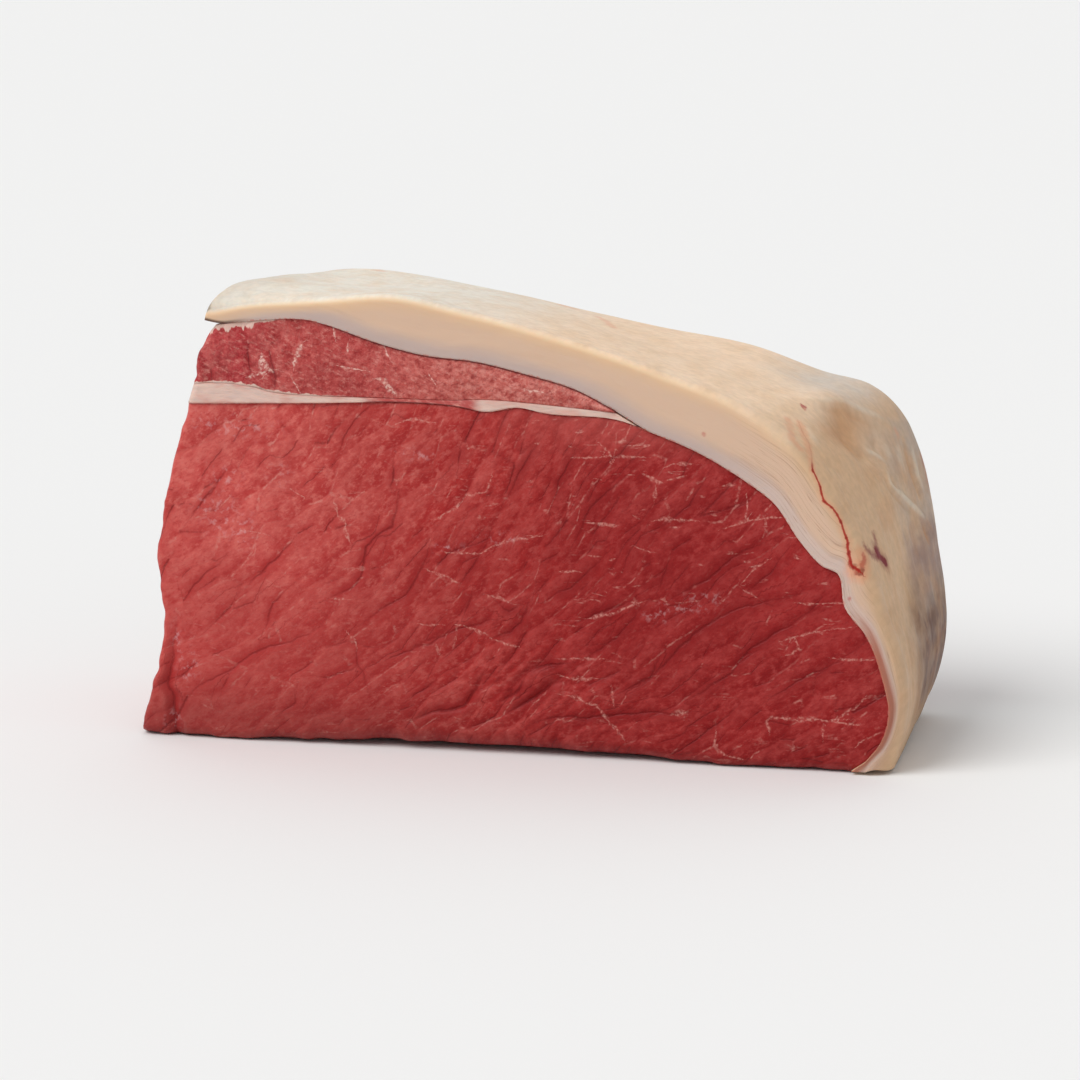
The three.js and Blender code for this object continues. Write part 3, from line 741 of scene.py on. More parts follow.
class Layer:
    """The mesh of a layer, with the shares and the flat profile of each vertex"""

    def __init__(self, name):
        self.name, self.block = name, Block(*DENSITY[name])
        self.u, self.v, self.w = self.block.shares()
        self.point = inside(name, self.u, self.v)
        self.x, self.z = self.point
        self.y = self.w * DEPTH
        self.left = inside(name, np.zeros_like(self.u), self.v)[0]
        self.thickness = np.hypot(*(roof_of(name, self.u) - floor_of(name, self.u)))
        self.from_floor, self.from_roof = self.v * self.thickness, (1 - self.v) * self.thickness
        self.at_front, self.at_rear = self.block.k == 0, self.block.k == self.block.counts[2]
        self.on_cut = self.at_front | self.at_rear
        self.spot = np.column_stack([self.x, self.y, self.z])

    def face_depth(self, rounds, relief):
        """How far the cut face stands out of the flat cut"""
        if self.name == "cover":
            radius = lerp(rounds["cover_left"], rounds["cover_right"], smooth(self.u, *COVER_TURN))
            return COVER_STANDS_OUT + relief - round_off(self.from_roof, np.minimum(radius, self.thickness))
        depth = relief - round_off(self.x - self.left, rounds["left"])
        if self.name == "eye":
            swell = EYE_SWELL * np.sin(np.pi * self.u) * np.sqrt(np.sin(np.pi * self.v))
            return swell + depth - round_off(self.z, rounds["base"])
        return depth + CAP_SWELL * np.sin(np.pi * self.v) if self.name == "cap" else depth

    def placed(self, front_relief, rear_relief, outward=0.0):
        """Where the vertices lie, with the relief of the two cut faces and the sides' own height"""
        u, v, w = self.u, self.v, self.w
        if self.name == "cover":
            inner = warp(floor_of("cover", u), w)
            across = lerp(roof_of("cover", u), rear_ridge.at(bend(u, RIDGE_OVER_CAP_TIP)), w) - inner
            moved = inner + across * v + across / np.hypot(*across) * (cover_folds(u, v, w) + outward)
        else:
            moved = warp(self.point, w) + outward
        y = lerp(-DEPTH / 2 - self.face_depth(FRONT_ROUND, front_relief),
                 DEPTH / 2 + self.face_depth(REAR_ROUND, rear_relief), w)
        z = np.maximum(moved[1] + lip_lift(self.point, y + DEPTH / 2), 0)
        return np.stack([moved[0] + CENTRE_SHIFT, y, z], 1)

    def mesh(self, name, points, fields, material):
        """A smooth mesh with its fields as attributes"""
        mesh = bpy.data.meshes.new(name)
        mesh.from_pydata((points * METRES).tolist(), [], self.block.faces)
        mesh.polygons.foreach_set("use_smooth", np.ones(len(mesh.polygons), bool))
        for field, values in fields.items():
            kind, key = ("FLOAT_VECTOR", "vector") if values.ndim == 2 else ("FLOAT", "value")
            attribute = mesh.attributes.new(field, kind, "POINT")
            attribute.data.foreach_set(key, values.astype(np.float32).ravel())
        mesh.materials.append(material)
        mesh.validate()
        piece = bpy.data.objects.new(name, mesh)
        bpy.context.scene.collection.objects.link(piece)
        return piece


def surface_normals(block, points):
    """The normal at each vertex, from the faces around it"""
    normals = np.zeros(points.shape)
    for count in (4, 5):
        faces = np.array([f for f in block.faces if len(f) == count])
        corners = [points[faces[:, k]] for k in range(4)]
        across = np.cross(corners[2] - corners[0], corners[3] - corners[1])
        for corner in range(count):
            np.add.at(normals, faces[:, corner], across)
    return normals / np.maximum(np.linalg.norm(normals, axis=1), 1e-9)[:, None]


def on_lines(lines):
    return [(size, on_cut_face(pixels)) for size, pixels in lines]


def lean_fields(layer, front, rear, marbling):
    """Heights and fields of a muscle, from the heights and fields of its front and its rear"""
    x, z, w = layer.x, layer.z, layer.w
    round_the_side = np.where(layer.block.j == 0, x, z + 0.3 * x)
    side, side_fields = side_relief(round_the_side, layer.y, SIDE_SEED)
    on_side = fade(w, 0.06, 0.94)
    side_fields["lines_near"] = side_fields["lines_near"] * on_side[:, None]
    fields = {}
    for key, side_values in side_fields.items():
        values = np.where(layer.at_rear, rear[1][key].T, side_values.T)
        fields[key] = np.where(layer.at_front, front[1][key].T, values).T
    signed, near = drawn_lines(np.stack([x, z], 1), on_lines(marbling))
    grain = grain_of(x, z) if layer.name == "eye" else (z, x)
    grain = np.where(layer.on_cut, grain, (layer.y, round_the_side))
    fields.update({
        "grain": np.column_stack([*grain, w * 20]), "spot": layer.spot, "rim": layer.from_roof,
        "marble": signed, "marble_near": near * layer.at_front, "cut": layer.on_cut.astype(float),
    })
    return front[0] * smooth(w, 0.10, 0.0), rear[0] * smooth(w, 0.90, 1.0), side * on_side, fields


def build_eye(material):
    layer = Layer("eye")
    u, v, x, z = layer.u, layer.v, layer.x, layer.z
    front, rear, side, fields = lean_fields(layer, eye_relief(x, z, FRONT_SEED, on_lines(CREASES)),
                                            eye_relief(-x, z, REAR_SEED, []), EYE_MARBLING)
    uneven = 0.9 * rough_noise(z / 7, layer.y / 14, 301) * smooth(u, 0.035, 0.0) * fade(v, 0.05, 0.97)
    left = uneven - (layer.block.i == 0) * fade(v, 0.05, 0.96) * side
    base = (layer.block.j == 0) * (0.6 + 0.5 * side) * fade(u, 0.02, 0.98) * fade(layer.w, 0.04, 0.96)
    points = layer.placed(front, rear, np.stack([left, base]))
    # Where the painted highlights, the glints, go
    glints = []
    for pixel, reach_x, reach_z in GLINTS:
        gx, gz = on_cut_face([pixel])[0]
        glints.append(bell(x - gx, reach_x) * bell(z - gz, reach_z))
    fields["glint"] = np.maximum.reduce(glints) * layer.at_front
    return layer.mesh("lean_eye", points, fields, material)


def build_cap(material):
    layer = Layer("cap")
    x, z = layer.x, layer.z
    front, rear, side, fields = lean_fields(layer, cap_relief(x, z, FRONT_SEED), cap_relief(-x, z, REAR_SEED),
                                            CAP_MARBLING)
    thin = smooth(layer.thickness, 0.5, 4)
    uneven = 0.8 * rough_noise(z / 5, layer.y / 12, 311) * smooth(layer.u, 0.03, 0.0)
    left = (uneven - (layer.block.i == 0) * side) * fade(layer.v, 0.12, 0.88)
    points = layer.placed(front * thin, rear * thin, np.stack([left, np.zeros_like(left)]))
    fields["base"] = layer.from_floor
    return layer.mesh("lean_cap", points, fields, material)


def build_seam(material):
    layer = Layer("seam")
    relief = 0.25 * rough_noise(layer.x / 6, layer.z / 3, 401) - 0.15
    edge = np.minimum(layer.from_floor, layer.from_roof)
    fields = {"spot": layer.spot, "rim": edge, "base": layer.from_floor}
    return layer.mesh("fat_seam", layer.placed(relief, 0.8 * relief), fields, material)


def cover_skin(layer):
    """Height of the small unevenness of the cover's outer face"""
    along, across = layer.u * COVER_RUN, layer.y
    side = smooth(layer.u, 0.55, 0.72)
    waves = 0.5 * rough_noise(along / 26, across / 20, 501, 2)
    waves += 0.35 * side * rough_noise(along / 12, across / 10, 502)
    wrinkles = 0.14 * noise(along / 9 + across / 14, across / 2.6, 505) * side
    return (waves + wrinkles) * smooth(layer.thickness, 0.5, 4)


def cover_edge(layer):
    """Relief of the cover's cut face: a wavy band, with fine lines and a step on the right"""
    u, inner = layer.u, layer.from_floor
    along = u * COVER_RUN
    band = 0.25 * rough_noise(along / 14, inner / 4, 511)
    peel = 0.16 * noise(along / 40, inner / 1.1, 515) * smooth(u, 0.55, 0.66)
    step = 0.35 * smooth(inner + 0.8 * noise(along / 12, inner * 0, 517), 5.0, 3.6) * smooth(u, 0.52, 0.6)
    return (band + peel - step) * smooth(inner, 0, 1.5) * smooth(layer.from_roof, 0, 3)


def build_cover(material):
    layer = Layer("cover")
    u, v, w, inner = layer.u, layer.v, layer.w, layer.from_floor
    outer = layer.block.j == layer.block.counts[1]
    relief = cover_edge(layer)
    points = layer.placed(relief, relief, v * v * cover_skin(layer) * fade(u, 0.01, 0.98))
    normals = surface_normals(layer.block, points)
    skin, skin_normals = points[outer], normals[outer]
    # pale adds up the folds' painted paleness: pale membrane and painted highlight, and painted shade below
    # zero
    raised, pale = np.zeros((2, len(skin)))
    for height, width, paleness, pixels in FOLDS:
        distance, share = to_line(skin, on_surface(pixels, skin, skin_normals), skin_normals)
        distance = distance + 0.7 * rough_noise(skin[:, 1] / 6, skin[:, 2] / 6, 521, 2)
        strength = np.sin(np.pi * np.clip(share, 0.03, 0.97)) ** 0.6 * bell(distance, width)
        raised += height * strength
        pale += paleness * strength
    inland = smooth(w[outer], 0.005, 0.05) * smooth(w[outer], 1.0, 0.97)
    points[outer] += skin_normals * (raised * inland)[:, None]
    shown = outer | layer.at_front
    seen, seen_normals = points[shown], normals[shown]

    def spread(values, chosen, rest):
        everywhere = np.full(len(points), rest)
        everywhere[chosen] = values
        return everywhere

    def nearest(lines):
        lines = [on_surface(pixels, seen, seen_normals) for pixels in lines]
        return spread(np.minimum.reduce([np.abs(to_line(seen, line)[0]) for line in lines]), shown, NO_MARK)

    red = np.zeros(len(points))
    for pixel, axis, half_length in RED_RIMS:
        middle = on_surface([pixel], skin, skin_normals)[0]
        rim = bell(points[:, axis] - middle[axis], half_length)
        red = np.maximum(red, rim * (points[:, 2] > middle[2] - RIM_DROP))
    distance, share = to_line(seen, on_surface(VEIN, seen, seen_normals), seen_normals)
    distance = distance + 0.2 * noise(seen[:, 2] / 2.2, seen[:, 1] / 2.2, 531)
    vein = np.clip(distance / lerp(0.4, 0.68, share), -NO_LINE, NO_LINE)
    vein_near = smooth(np.abs(distance), 3.2, 1.8) * lerp(0.15, 1.0, smooth(share, 0.28, 0.38))
    cut = np.stack([layer.x, layer.z], 1)
    specks = np.minimum.reduce([np.abs(to_line(cut, on_cut_face(pixels))[0]) for pixels in SPECKS])
    fields = {
        "spot": layer.spot, "run": np.column_stack([u * COVER_RUN, layer.y, inner]), "length_share": u,
        "depth_share": w, "inner": inner, "crest": layer.from_roof, "skin": skin_share(layer),
        "fold_paleness_and_shade": spread(pale * inland, outer, 0.0), "vein": spread(vein, shown, NO_LINE),
        "vein_near": spread(vein_near, shown, 0.0), "pool": nearest(VEIN_POOLS), "clot": nearest(CLOTS),
        "bruise": nearest(BRUISES), "streak": nearest(BRUISE_STREAKS), "stain": nearest(STAINS),
        "red_rim": red * smooth(w, 0.94, 1.0) * smooth(layer.from_roof, 3.0, 0.5),
        "speck": nearest([VEIN_TOP]), "front_speck": np.where(layer.at_front, specks, NO_MARK),
        "floor_gap": np.where(layer.at_front, inner, NO_MARK),
    }
    return layer.mesh("fat_cover_layer", points, fields, material)


def skin_share(layer):
    """One on the cover's outer face, falling to zero over the rounded edge of its cut face"""
    reach = lerp(1.6, 5.0, smooth(layer.u, *COVER_TURN))
    return np.where(layer.on_cut, smooth(layer.from_roof, reach, 0.0) * smooth(layer.thickness, 0.5, 3), 1.0)


# Materials

MIX_SOCKETS, MIX_RESULT = (0, 6, 7), 2  # the factor and the two colours of a mix node, and what it gives


class Wire:
    """A value of a material's nodes, to add, subtract, multiply or divide"""

    def __init__(self, shader, socket):
        self.shader, self.socket = shader, socket

    def __add__(self, other):
        return self.shader.math("ADD", self, other)

    def __sub__(self, other):
        return self.shader.math("SUBTRACT", self, other)

    def __rsub__(self, other):
        return self.shader.math("SUBTRACT", other, self)

    def __mul__(self, other):
        return self.shader.math("MULTIPLY", self, other)

    def __truediv__(self, other):
        return self.shader.math("DIVIDE", self, other)

    def __abs__(self):
        return self.shader.math("ABSOLUTE", self)


class Shader:
    """Short names for the nodes of one material"""

    def __init__(self, name):
        self.material = bpy.data.materials.new(name)
        self.material.use_nodes = True
        self.tree = self.material.node_tree

    def put(self, socket, value):
        if isinstance(value, Wire):
            self.tree.links.new(value.socket, socket)
        else:
            socket.default_value = COLOURS[value] if isinstance(value, str) else value

    def node(self, kind, output, inputs, **settings):
        """An output of a new node whose inputs are numbers, colours or wires"""
        node = self.tree.nodes.new("ShaderNode" + kind)
        for name, value in settings.items():
            setattr(node, name, value)
        for name, value in inputs.items():
            self.put(node.inputs[name], value)
        return Wire(self, node.outputs[output])

    def field(self, name):
        return self.node("Attribute", "Fac", {}, attribute_name=name)

    def vector(self, name):
        return self.node("Attribute", "Vector", {}, attribute_name=name)

    def math(self, operation, *values):
        return self.node("Math", 0, dict(enumerate(values)), operation=operation)

    def larger(self, first, second):
        return self.math("MAXIMUM", first, second)

    def scaled(self, vector, scale, turn):
        """A place turned about Y by degrees, then scaled by one number or by three"""
        if turn:
            vector = self.node("Mapping", 0, {"Vector": vector, "Rotation": (0, math.radians(turn), 0)})
        scale = scale if isinstance(scale, tuple) else (scale,) * 3
        return self.node("Mapping", 0, {"Vector": vector, "Scale": scale})

    def noise(self, vector, scale, detail, distortion=0.0, rough=0.55, turn=0.0):
        place = self.scaled(vector, scale, turn)
        return self.node("TexNoise", "Fac", {"Vector": place, "Scale": 1.0, "Detail": detail,
                                             "Distortion": distortion, "Roughness": rough})

    def cells(self, vector, scale, turn):
        """The distance from the middle of the nearest cell, and that cell's random number"""
        place = self.scaled(vector, scale, turn)
        distance = self.node("TexVoronoi", "Distance", {"Vector": place, "Scale": 1.0})
        return distance, self.parts(Wire(self, distance.socket.node.outputs["Color"]))[0]

    def ramp(self, value, low, high, to_low=0.0, to_high=1.0):
        return self.node("MapRange", "Result", {
            "Value": value, "From Min": low, "From Max": high, "To Min": to_low, "To Max": to_high,
        }, interpolation_type="SMOOTHSTEP")

    def mix(self, share, first, second, blend="MIX"):
        inputs = dict(zip(MIX_SOCKETS, (share, first, second)))
        return self.node("Mix", MIX_RESULT, inputs, data_type="RGBA", blend_type=blend)

    def layers(self, colour, *coats):
        """A colour with others laid over it, each with its own share"""
        for share, coat in coats:
            colour = self.mix(share, colour, coat)
        return colour

    def times(self, colour, value):
        """A colour made lighter or darker by a value around one"""
        grey = self.node("CombineColor", 0, {0: value, 1: value, 2: value})
        return self.mix(1.0, colour, grey, "MULTIPLY")

    def parts(self, vector):
        first = self.node("SeparateXYZ", 0, {0: vector})
        return [Wire(self, socket) for socket in first.socket.node.outputs]

    def look(self, **values):
        """The material, with values or wires in the named sockets of its shader"""
        for name, value in values.items():
            self.put(self.tree.nodes["Principled BSDF"].inputs[name.replace("_", " ")], value)
        return self.material

    def finish(self, colour, roughness, height, bump_mm, **plain):
        bump = self.node("Bump", 0, {"Strength": 1.0, "Distance": bump_mm * METRES, "Height": height})
        return self.look(Base_Color=colour, Roughness=roughness, Normal=bump, **plain)


FLESH_SCATTER = {
    "Subsurface_Weight": 0.12, "Subsurface_Scale": 0.0022, "Subsurface_Radius": (1.0, 0.25, 0.16),
}
FAT_SCATTER = {
    "Subsurface_Weight": 0.25, "Subsurface_Scale": 0.0030, "Subsurface_Radius": (1.0, 0.62, 0.42),
}


def crease_lines(s, spot):
    """One on the creases between bundles: a soft valley of painted shade beside them, the thin lines of
    painted shade in them, and thin threads of membrane along other edges of the bundles"""
    waver = s.noise(spot, 0.8, 2) * 0.8 - 0.4
    beads = s.ramp(s.noise(spot, 0.6, 4), 0.36, 0.66)
    near, webs = s.parts(s.vector("lines_near")), s.parts(s.vector("web"))
    away = abs(waver * 0.6 + s.field("crease"))
    # Painted shade: a thin line in each crease and a soft darker red valley beside it
    line = s.ramp(away, 0.5, 0.05) * s.field("crease_near")
    soft = s.ramp(away, 3.4, 0.2) * s.field("crease_near")
    web = 0.0
    for distance, strength, chosen, width in zip(s.parts(s.vector("lines")), near, webs, (0.42, 0.4, 0.32)):
        away = abs(distance + waver)
        line = s.larger(line, s.ramp(away, width, 0.0) * strength)
        soft = s.larger(soft, s.ramp(away, 2.4, 0.1) * (strength * 0.7))
        web = s.larger(web, s.ramp(abs(distance + waver - 0.25), 0.36, 0.08) * chosen)
    return soft, line, web * beads


def lean_look(s, base, red, crease_shade, pink, thread):
    """What both muscles share: bundles painted pinker on top and redder in the valleys between them, as
    painted light and shade, with painted shade in the creases and pale threads of membrane"""
    grain, spot = s.vector("grain"), s.vector("spot")
    fibres = s.noise(grain, (0.5, 1.5, 1.0), 5, 0.4)
    mottled = s.noise(spot, (0.28, 0.35, 0.42), 6, rough=0.68, turn=35)
    flecks = s.noise(spot, (0.6, 0.8, 1.2), 4, 0.3, turn=30)
    patches = s.noise(spot, (0.05, 0.06, 0.06), 3)
    tone, high = s.field("tone"), s.field("high")
    colour = s.layers(
        base,
        (s.ramp(tone, 0.5, 1.0, 0.0, 0.2), pink),
        (s.ramp(tone, 0.5, 0.0, 0.0, 0.25), red),
        # Painted light and shade by height: pinker on the crests, redder in the valleys
        (s.ramp(high, 0.0, 0.6, 0.0, 0.34), pink),
        (s.ramp(high, 0.05, -0.45, 0.0, 0.6), red),
        (s.ramp(mottled, 0.48, 0.64, 0.0, 0.7), pink),
        (s.ramp(mottled, 0.5, 0.34, 0.0, 0.6), red),
        (s.ramp(flecks, 0.54, 0.68, 0.0, 0.5), pink),
        (s.ramp(flecks, 0.46, 0.32, 0.0, 0.55), red),
        (s.ramp(fibres, 0.5, 0.25, 0.0, 0.25), red),
    )
    colour = s.times(colour, s.ramp(patches, 0.3, 0.7, 0.94, 1.06))
    soft, line, web = crease_lines(s, spot)
    colour = s.layers(
        colour,
        # A painted highlight with paler membrane along each bundle's upper rim
        (s.field("lit_pale_rim") * 0.4, pink),
        # Painted shade in the valleys and along the creases
        (soft * 0.9, red),
        (line * 0.68, crease_shade),
        (web * 0.5, thread),
    )
    return grain, spot, line, fibres, colour


def wisps(s, spot, turn, length, apart, share):
    """Thin wavy threads of fat that run about level, about so long and so far apart, broken up into beads"""
    field = s.noise(spot, (0.6 / length, 0.03, 1 / apart), 2, 0.3, turn=turn)
    line = s.ramp(abs(field - 0.5), 0.045, 0.01)
    stretch = s.noise(spot, (1 / length, 0.1, 0.8 / apart), 2, turn=turn)
    beads = s.ramp(s.noise(spot, (1.1, 0.5, 0.8), 2), 0.4, 0.6, 0.15, 1.0)
    chosen = s.ramp(stretch, 0.68 - share, 0.74 - share)
    return line * chosen * beads


def threads(s, spot, colour, name, strength):
    """The named threads of fat, which waver and break up"""
    waver = s.noise(spot, 0.5, 3) * 3.6 - 1.8
    slow = s.noise(spot, 0.16, 2) * 5.0 - 2.5
    wear = s.noise(spot, 1.1, 2)
    broad = s.ramp(s.noise(spot, 0.35, 2), 0.35, 0.7, 0.7, 2.8)
    away = abs(s.field("marble") + (waver + slow))
    line = s.ramp(away / broad, 1.1, 0.0) * s.field("marble_near")
    return s.mix(line * s.ramp(wear, 0.4, 0.62, 0.12 * strength, strength), colour, name)


def eye_material():
    s = Shader("lean_meat")
    spot = s.vector("spot")
    x, _, z = s.parts(spot)
    drift = s.noise(spot, 0.03, 2) * 36.0 + x
    base = s.layers(
        "lean_left",
        (s.ramp(drift, -85, 0), "lean"),
        (s.ramp(drift, 0, 65), "lean_right"),
        (s.ramp(x, 55, 85, 0.0, 0.85) * s.ramp(z, 26, 42), "lean_far"),
    )
    pink = s.mix(s.ramp(drift, -60, 50), "lean_pink", "lean_rose")
    red = s.mix(s.ramp(drift, -70, 40), "lean_red_left", "lean_red")
    grain, spot, line, fibres, colour = lean_look(s, base, red, "lean_crease_shade", pink, "marbling")
    # The lean is pinker under the seam and redder half-way down; low down at the left it is painted redder
    # and darker, and along the base darker, as painted shade
    upper = s.ramp(z, 86, 101) * s.ramp(x, -20, 20)
    middle = s.ramp(abs(z - 50), 26, 8)
    leftward = s.ramp(x, -5, -60)
    colour = s.layers(
        colour,
        (upper * 0.22, "lean_pink"),
        (middle * s.ramp(x, -60, 0, 0.15, 0.24), red),
        (s.ramp(z, 62, 20) * (leftward * 0.42), red),
    )
    # Painted shade: darker low down at the left and along the base
    shade_darkening = s.ramp(z, 64, 40, 0.0, 0.07) + s.ramp(z, 24, 6, 0.0, 0.2)
    colour = s.times(colour, 1.0 - shade_darkening * leftward)
    colour = s.times(colour, s.ramp(z, 14, 1, 1.0, 0.9))

    cut = s.field("cut")
    right_top = s.ramp(x, -45, 35) * s.ramp(z, 20, 70)
    pale = s.larger(wisps(s, spot, 3, 11.0, 2.6, 0.07), wisps(s, spot, -12, 8.0, 3.4, 0.05))
    pale = pale * s.ramp(right_top, 0, 1, 0.22, 0.62) * cut
    colour = s.mix(pale, colour, "marbling")
    colour = threads(s, spot, colour, "marbling", 0.66)
    ragged = s.field("rim") - s.noise(spot, 0.5, 3) * 1.6
    # Painted highlights: pale wet glints at the glint places
    glint_spots = s.ramp(s.noise(spot, (0.6, 0.6, 0.5), 3, turn=-35), 0.5, 0.68)
    glint = s.field("glint") * glint_spots
    silver = s.ramp(s.noise(grain, (0.025, 0.16, 0.05), 5, 0.5), 0.52, 0.68)
    colour = s.layers(
        colour,
        (s.ramp(ragged, -0.45, -0.8, 0.0, 0.6), "seam_pink"),
        (glint * 0.38, "glint"),
        ((1.0 - cut) * silver * 0.3, "membrane"),
    )
    gloss = s.ramp(s.noise(grain, (0.25, 0.5, 0.5), 3), 0.35, 0.65, 0.34, 0.5) - glint * 0.18
    return s.finish(colour, gloss, fibres * 0.6 - line * 0.6, 0.25, Specular_IOR_Level=0.14, **FLESH_SCATTER)


def cap_material():
    s = Shader("cap_meat")
    x = s.parts(s.vector("spot"))[0]
    base = s.layers(
        "cap_left",
        (s.ramp(x, -86, -70), "cap_middle"),
        (s.ramp(x, -56, -15), "cap_right"),
    )
    pink = s.mix(s.ramp(x, -50, 10), "cap_rose", "cap_pink")
    grain, spot, line, fibres, colour = lean_look(s, base, "cap_red", "cap_dark_and_shade", pink, "marbling")
    granules = s.noise(spot, (0.4, 0.5, 0.9), 6, 0.15, rough=0.66, turn=-20)
    cut, rim = s.field("cut"), s.field("rim")
    from_crumb, chance = s.cells(spot, (1.1, 0.5, 0.55), turn=14)
    crumbs = s.ramp(from_crumb, 0.3, 0.1) * s.ramp(chance, 0.6, 0.66)
    colour = s.layers(
        colour,
        (s.ramp(granules, 0.5, 0.68, 0.0, 0.46), "cap_pink"),
        (s.ramp(granules, 0.48, 0.32, 0.0, 0.5), "cap_red"),
        (crumbs * cut * 0.12, "marbling"),
    )
    colour = threads(s, spot, colour, "white_thread", 0.8)
    # White teeth of fat that hang from the cover at the left
    teeth = s.noise(spot, (0.42, 0.2, 0.06), 3)
    reach = s.ramp(x, -72, -88, 0.0, 2.4) * s.ramp(teeth, 0.42, 0.7, 0.55, 2.0)
    over = s.ramp(reach - rim, -0.2, 0.3) * s.ramp(x, -72, -76)
    # A thin line of painted shade along the joint under the cover, right of the teeth
    under = rim - s.noise(spot, (1.0, 0.4, 0.4), 2) * 0.9
    shade_darkening = s.ramp(under, 0.25, -0.2) * s.ramp(x, -66, -50)
    lower = s.field("base") - s.noise(spot, (0.3, 0.4, 0.4), 3) * 2.6
    silver = s.ramp(s.noise(grain, (0.03, 0.12, 0.06), 4, 0.6), 0.5, 0.62)
    skin = (1.0 - cut) * silver
    colour = s.layers(
        colour,
        (over * cut * 0.9, "seam"),
        (shade_darkening * 0.7, "cap_dark_and_shade"),
        (s.ramp(lower, -0.6, -0.95) * s.ramp(x, -50, -66), "seam"),
        (skin * 0.28, "membrane"),
    )
    gloss = s.ramp(s.noise(spot, 0.9, 2), 0.35, 0.65, 0.34, 0.5)
    return s.finish(colour, gloss, fibres - line * 0.6, 0.35, Specular_IOR_Level=0.2, **FLESH_SCATTER)


def seam_material():
    s = Shader("seam_of_fat")
    spot, rim = s.vector("spot"), s.field("rim")
    x = s.parts(spot)[0]
    streaks = s.noise(spot, (0.2, 0.2, 0.9), 4, 0.3)
    blush = s.ramp(s.noise(spot, (0.12, 0.1, 0.3), 2), 0.45, 0.7)
    edge = rim - s.noise(spot, (0.4, 0.5, 0.5), 3) * 1.1
    # Between the thick left end and the lens of fat the seam is a hairline between the two muscles
    wander = s.noise(spot, 0.08, 2) * 10.0 + x
    hairline = s.ramp(wander, -44, -37) * s.ramp(wander, -8, -13)
    granules = s.noise(spot, (0.4, 0.5, 0.9), 5, 0.15, turn=-20)
    meat = s.mix(s.ramp(granules, 0.45, 0.7, 0.0, 0.6), "cap_middle", "cap_pink")
    core = s.ramp(s.field("base") - streaks * 0.5, 0.42, 0.12)
    colour = s.layers(
        "seam",
        (s.ramp(streaks, 0.4, 0.75, 0.0, 0.55), "fat_inner"),
        (blush * 0.5, "seam_pink"),
        (s.ramp(edge, 0.0, -0.35, 0.0, 0.3), "cap_right"),
        (hairline * 0.96, meat),
        (hairline * core * 0.75, "cap_dark_and_shade"),
    )
    gloss = s.ramp(streaks, 0.3, 0.7, 0.4, 0.55)
    return s.finish(colour, gloss, streaks, 0.3, Specular_IOR_Level=0.35, **FAT_SCATTER)


def cut_band(s, run, u, inner, streaks):
    """The cover's cut face: greyish next to the lean, then peach, deeper under the crest, with fine lines
    that run along it on the right"""
    clouds = s.noise(run, (0.05, 0.08, 0.22), 4)
    edge = inner - clouds * 3.0
    crest = clouds * 3.0 + s.field("crest")
    right = s.ramp(u, 0.56, 0.68)
    pale = s.ramp(streaks * 1.6 + inner, 4.8, 4.0) * right
    peel = s.ramp(abs(s.noise(run, (0.018, 0.1, 1.1), 2, 0.2) - 0.5), 0.02, 0.0) * right
    low = s.ramp(u, 0.79, 0.87) * s.ramp(streaks * 1.5 + inner, 4.4, 2.2)
    return s.layers(
        "fat_inner",
        (s.ramp(edge, -0.5, 5.0), "fat_face"),
        (s.ramp(crest, 7.5, 2.5) * 0.75, "fat_crest"),
        # A painted highlight along the rounded crest
        (s.ramp(s.field("crest"), 2.4, 0.4, 0.0, 0.55), "fat_crest_highlight"),
        (s.ramp(u, 0.06, 0.0, 0.0, 0.5), "fat_side"),
        (pale * 0.6, "fat_skin"),
        (peel * 0.55, "peel"),
        (low * 0.9, "inner_peach"),
        (s.ramp(u, 0.8, 1.0) * 0.3, "peel"),
    )


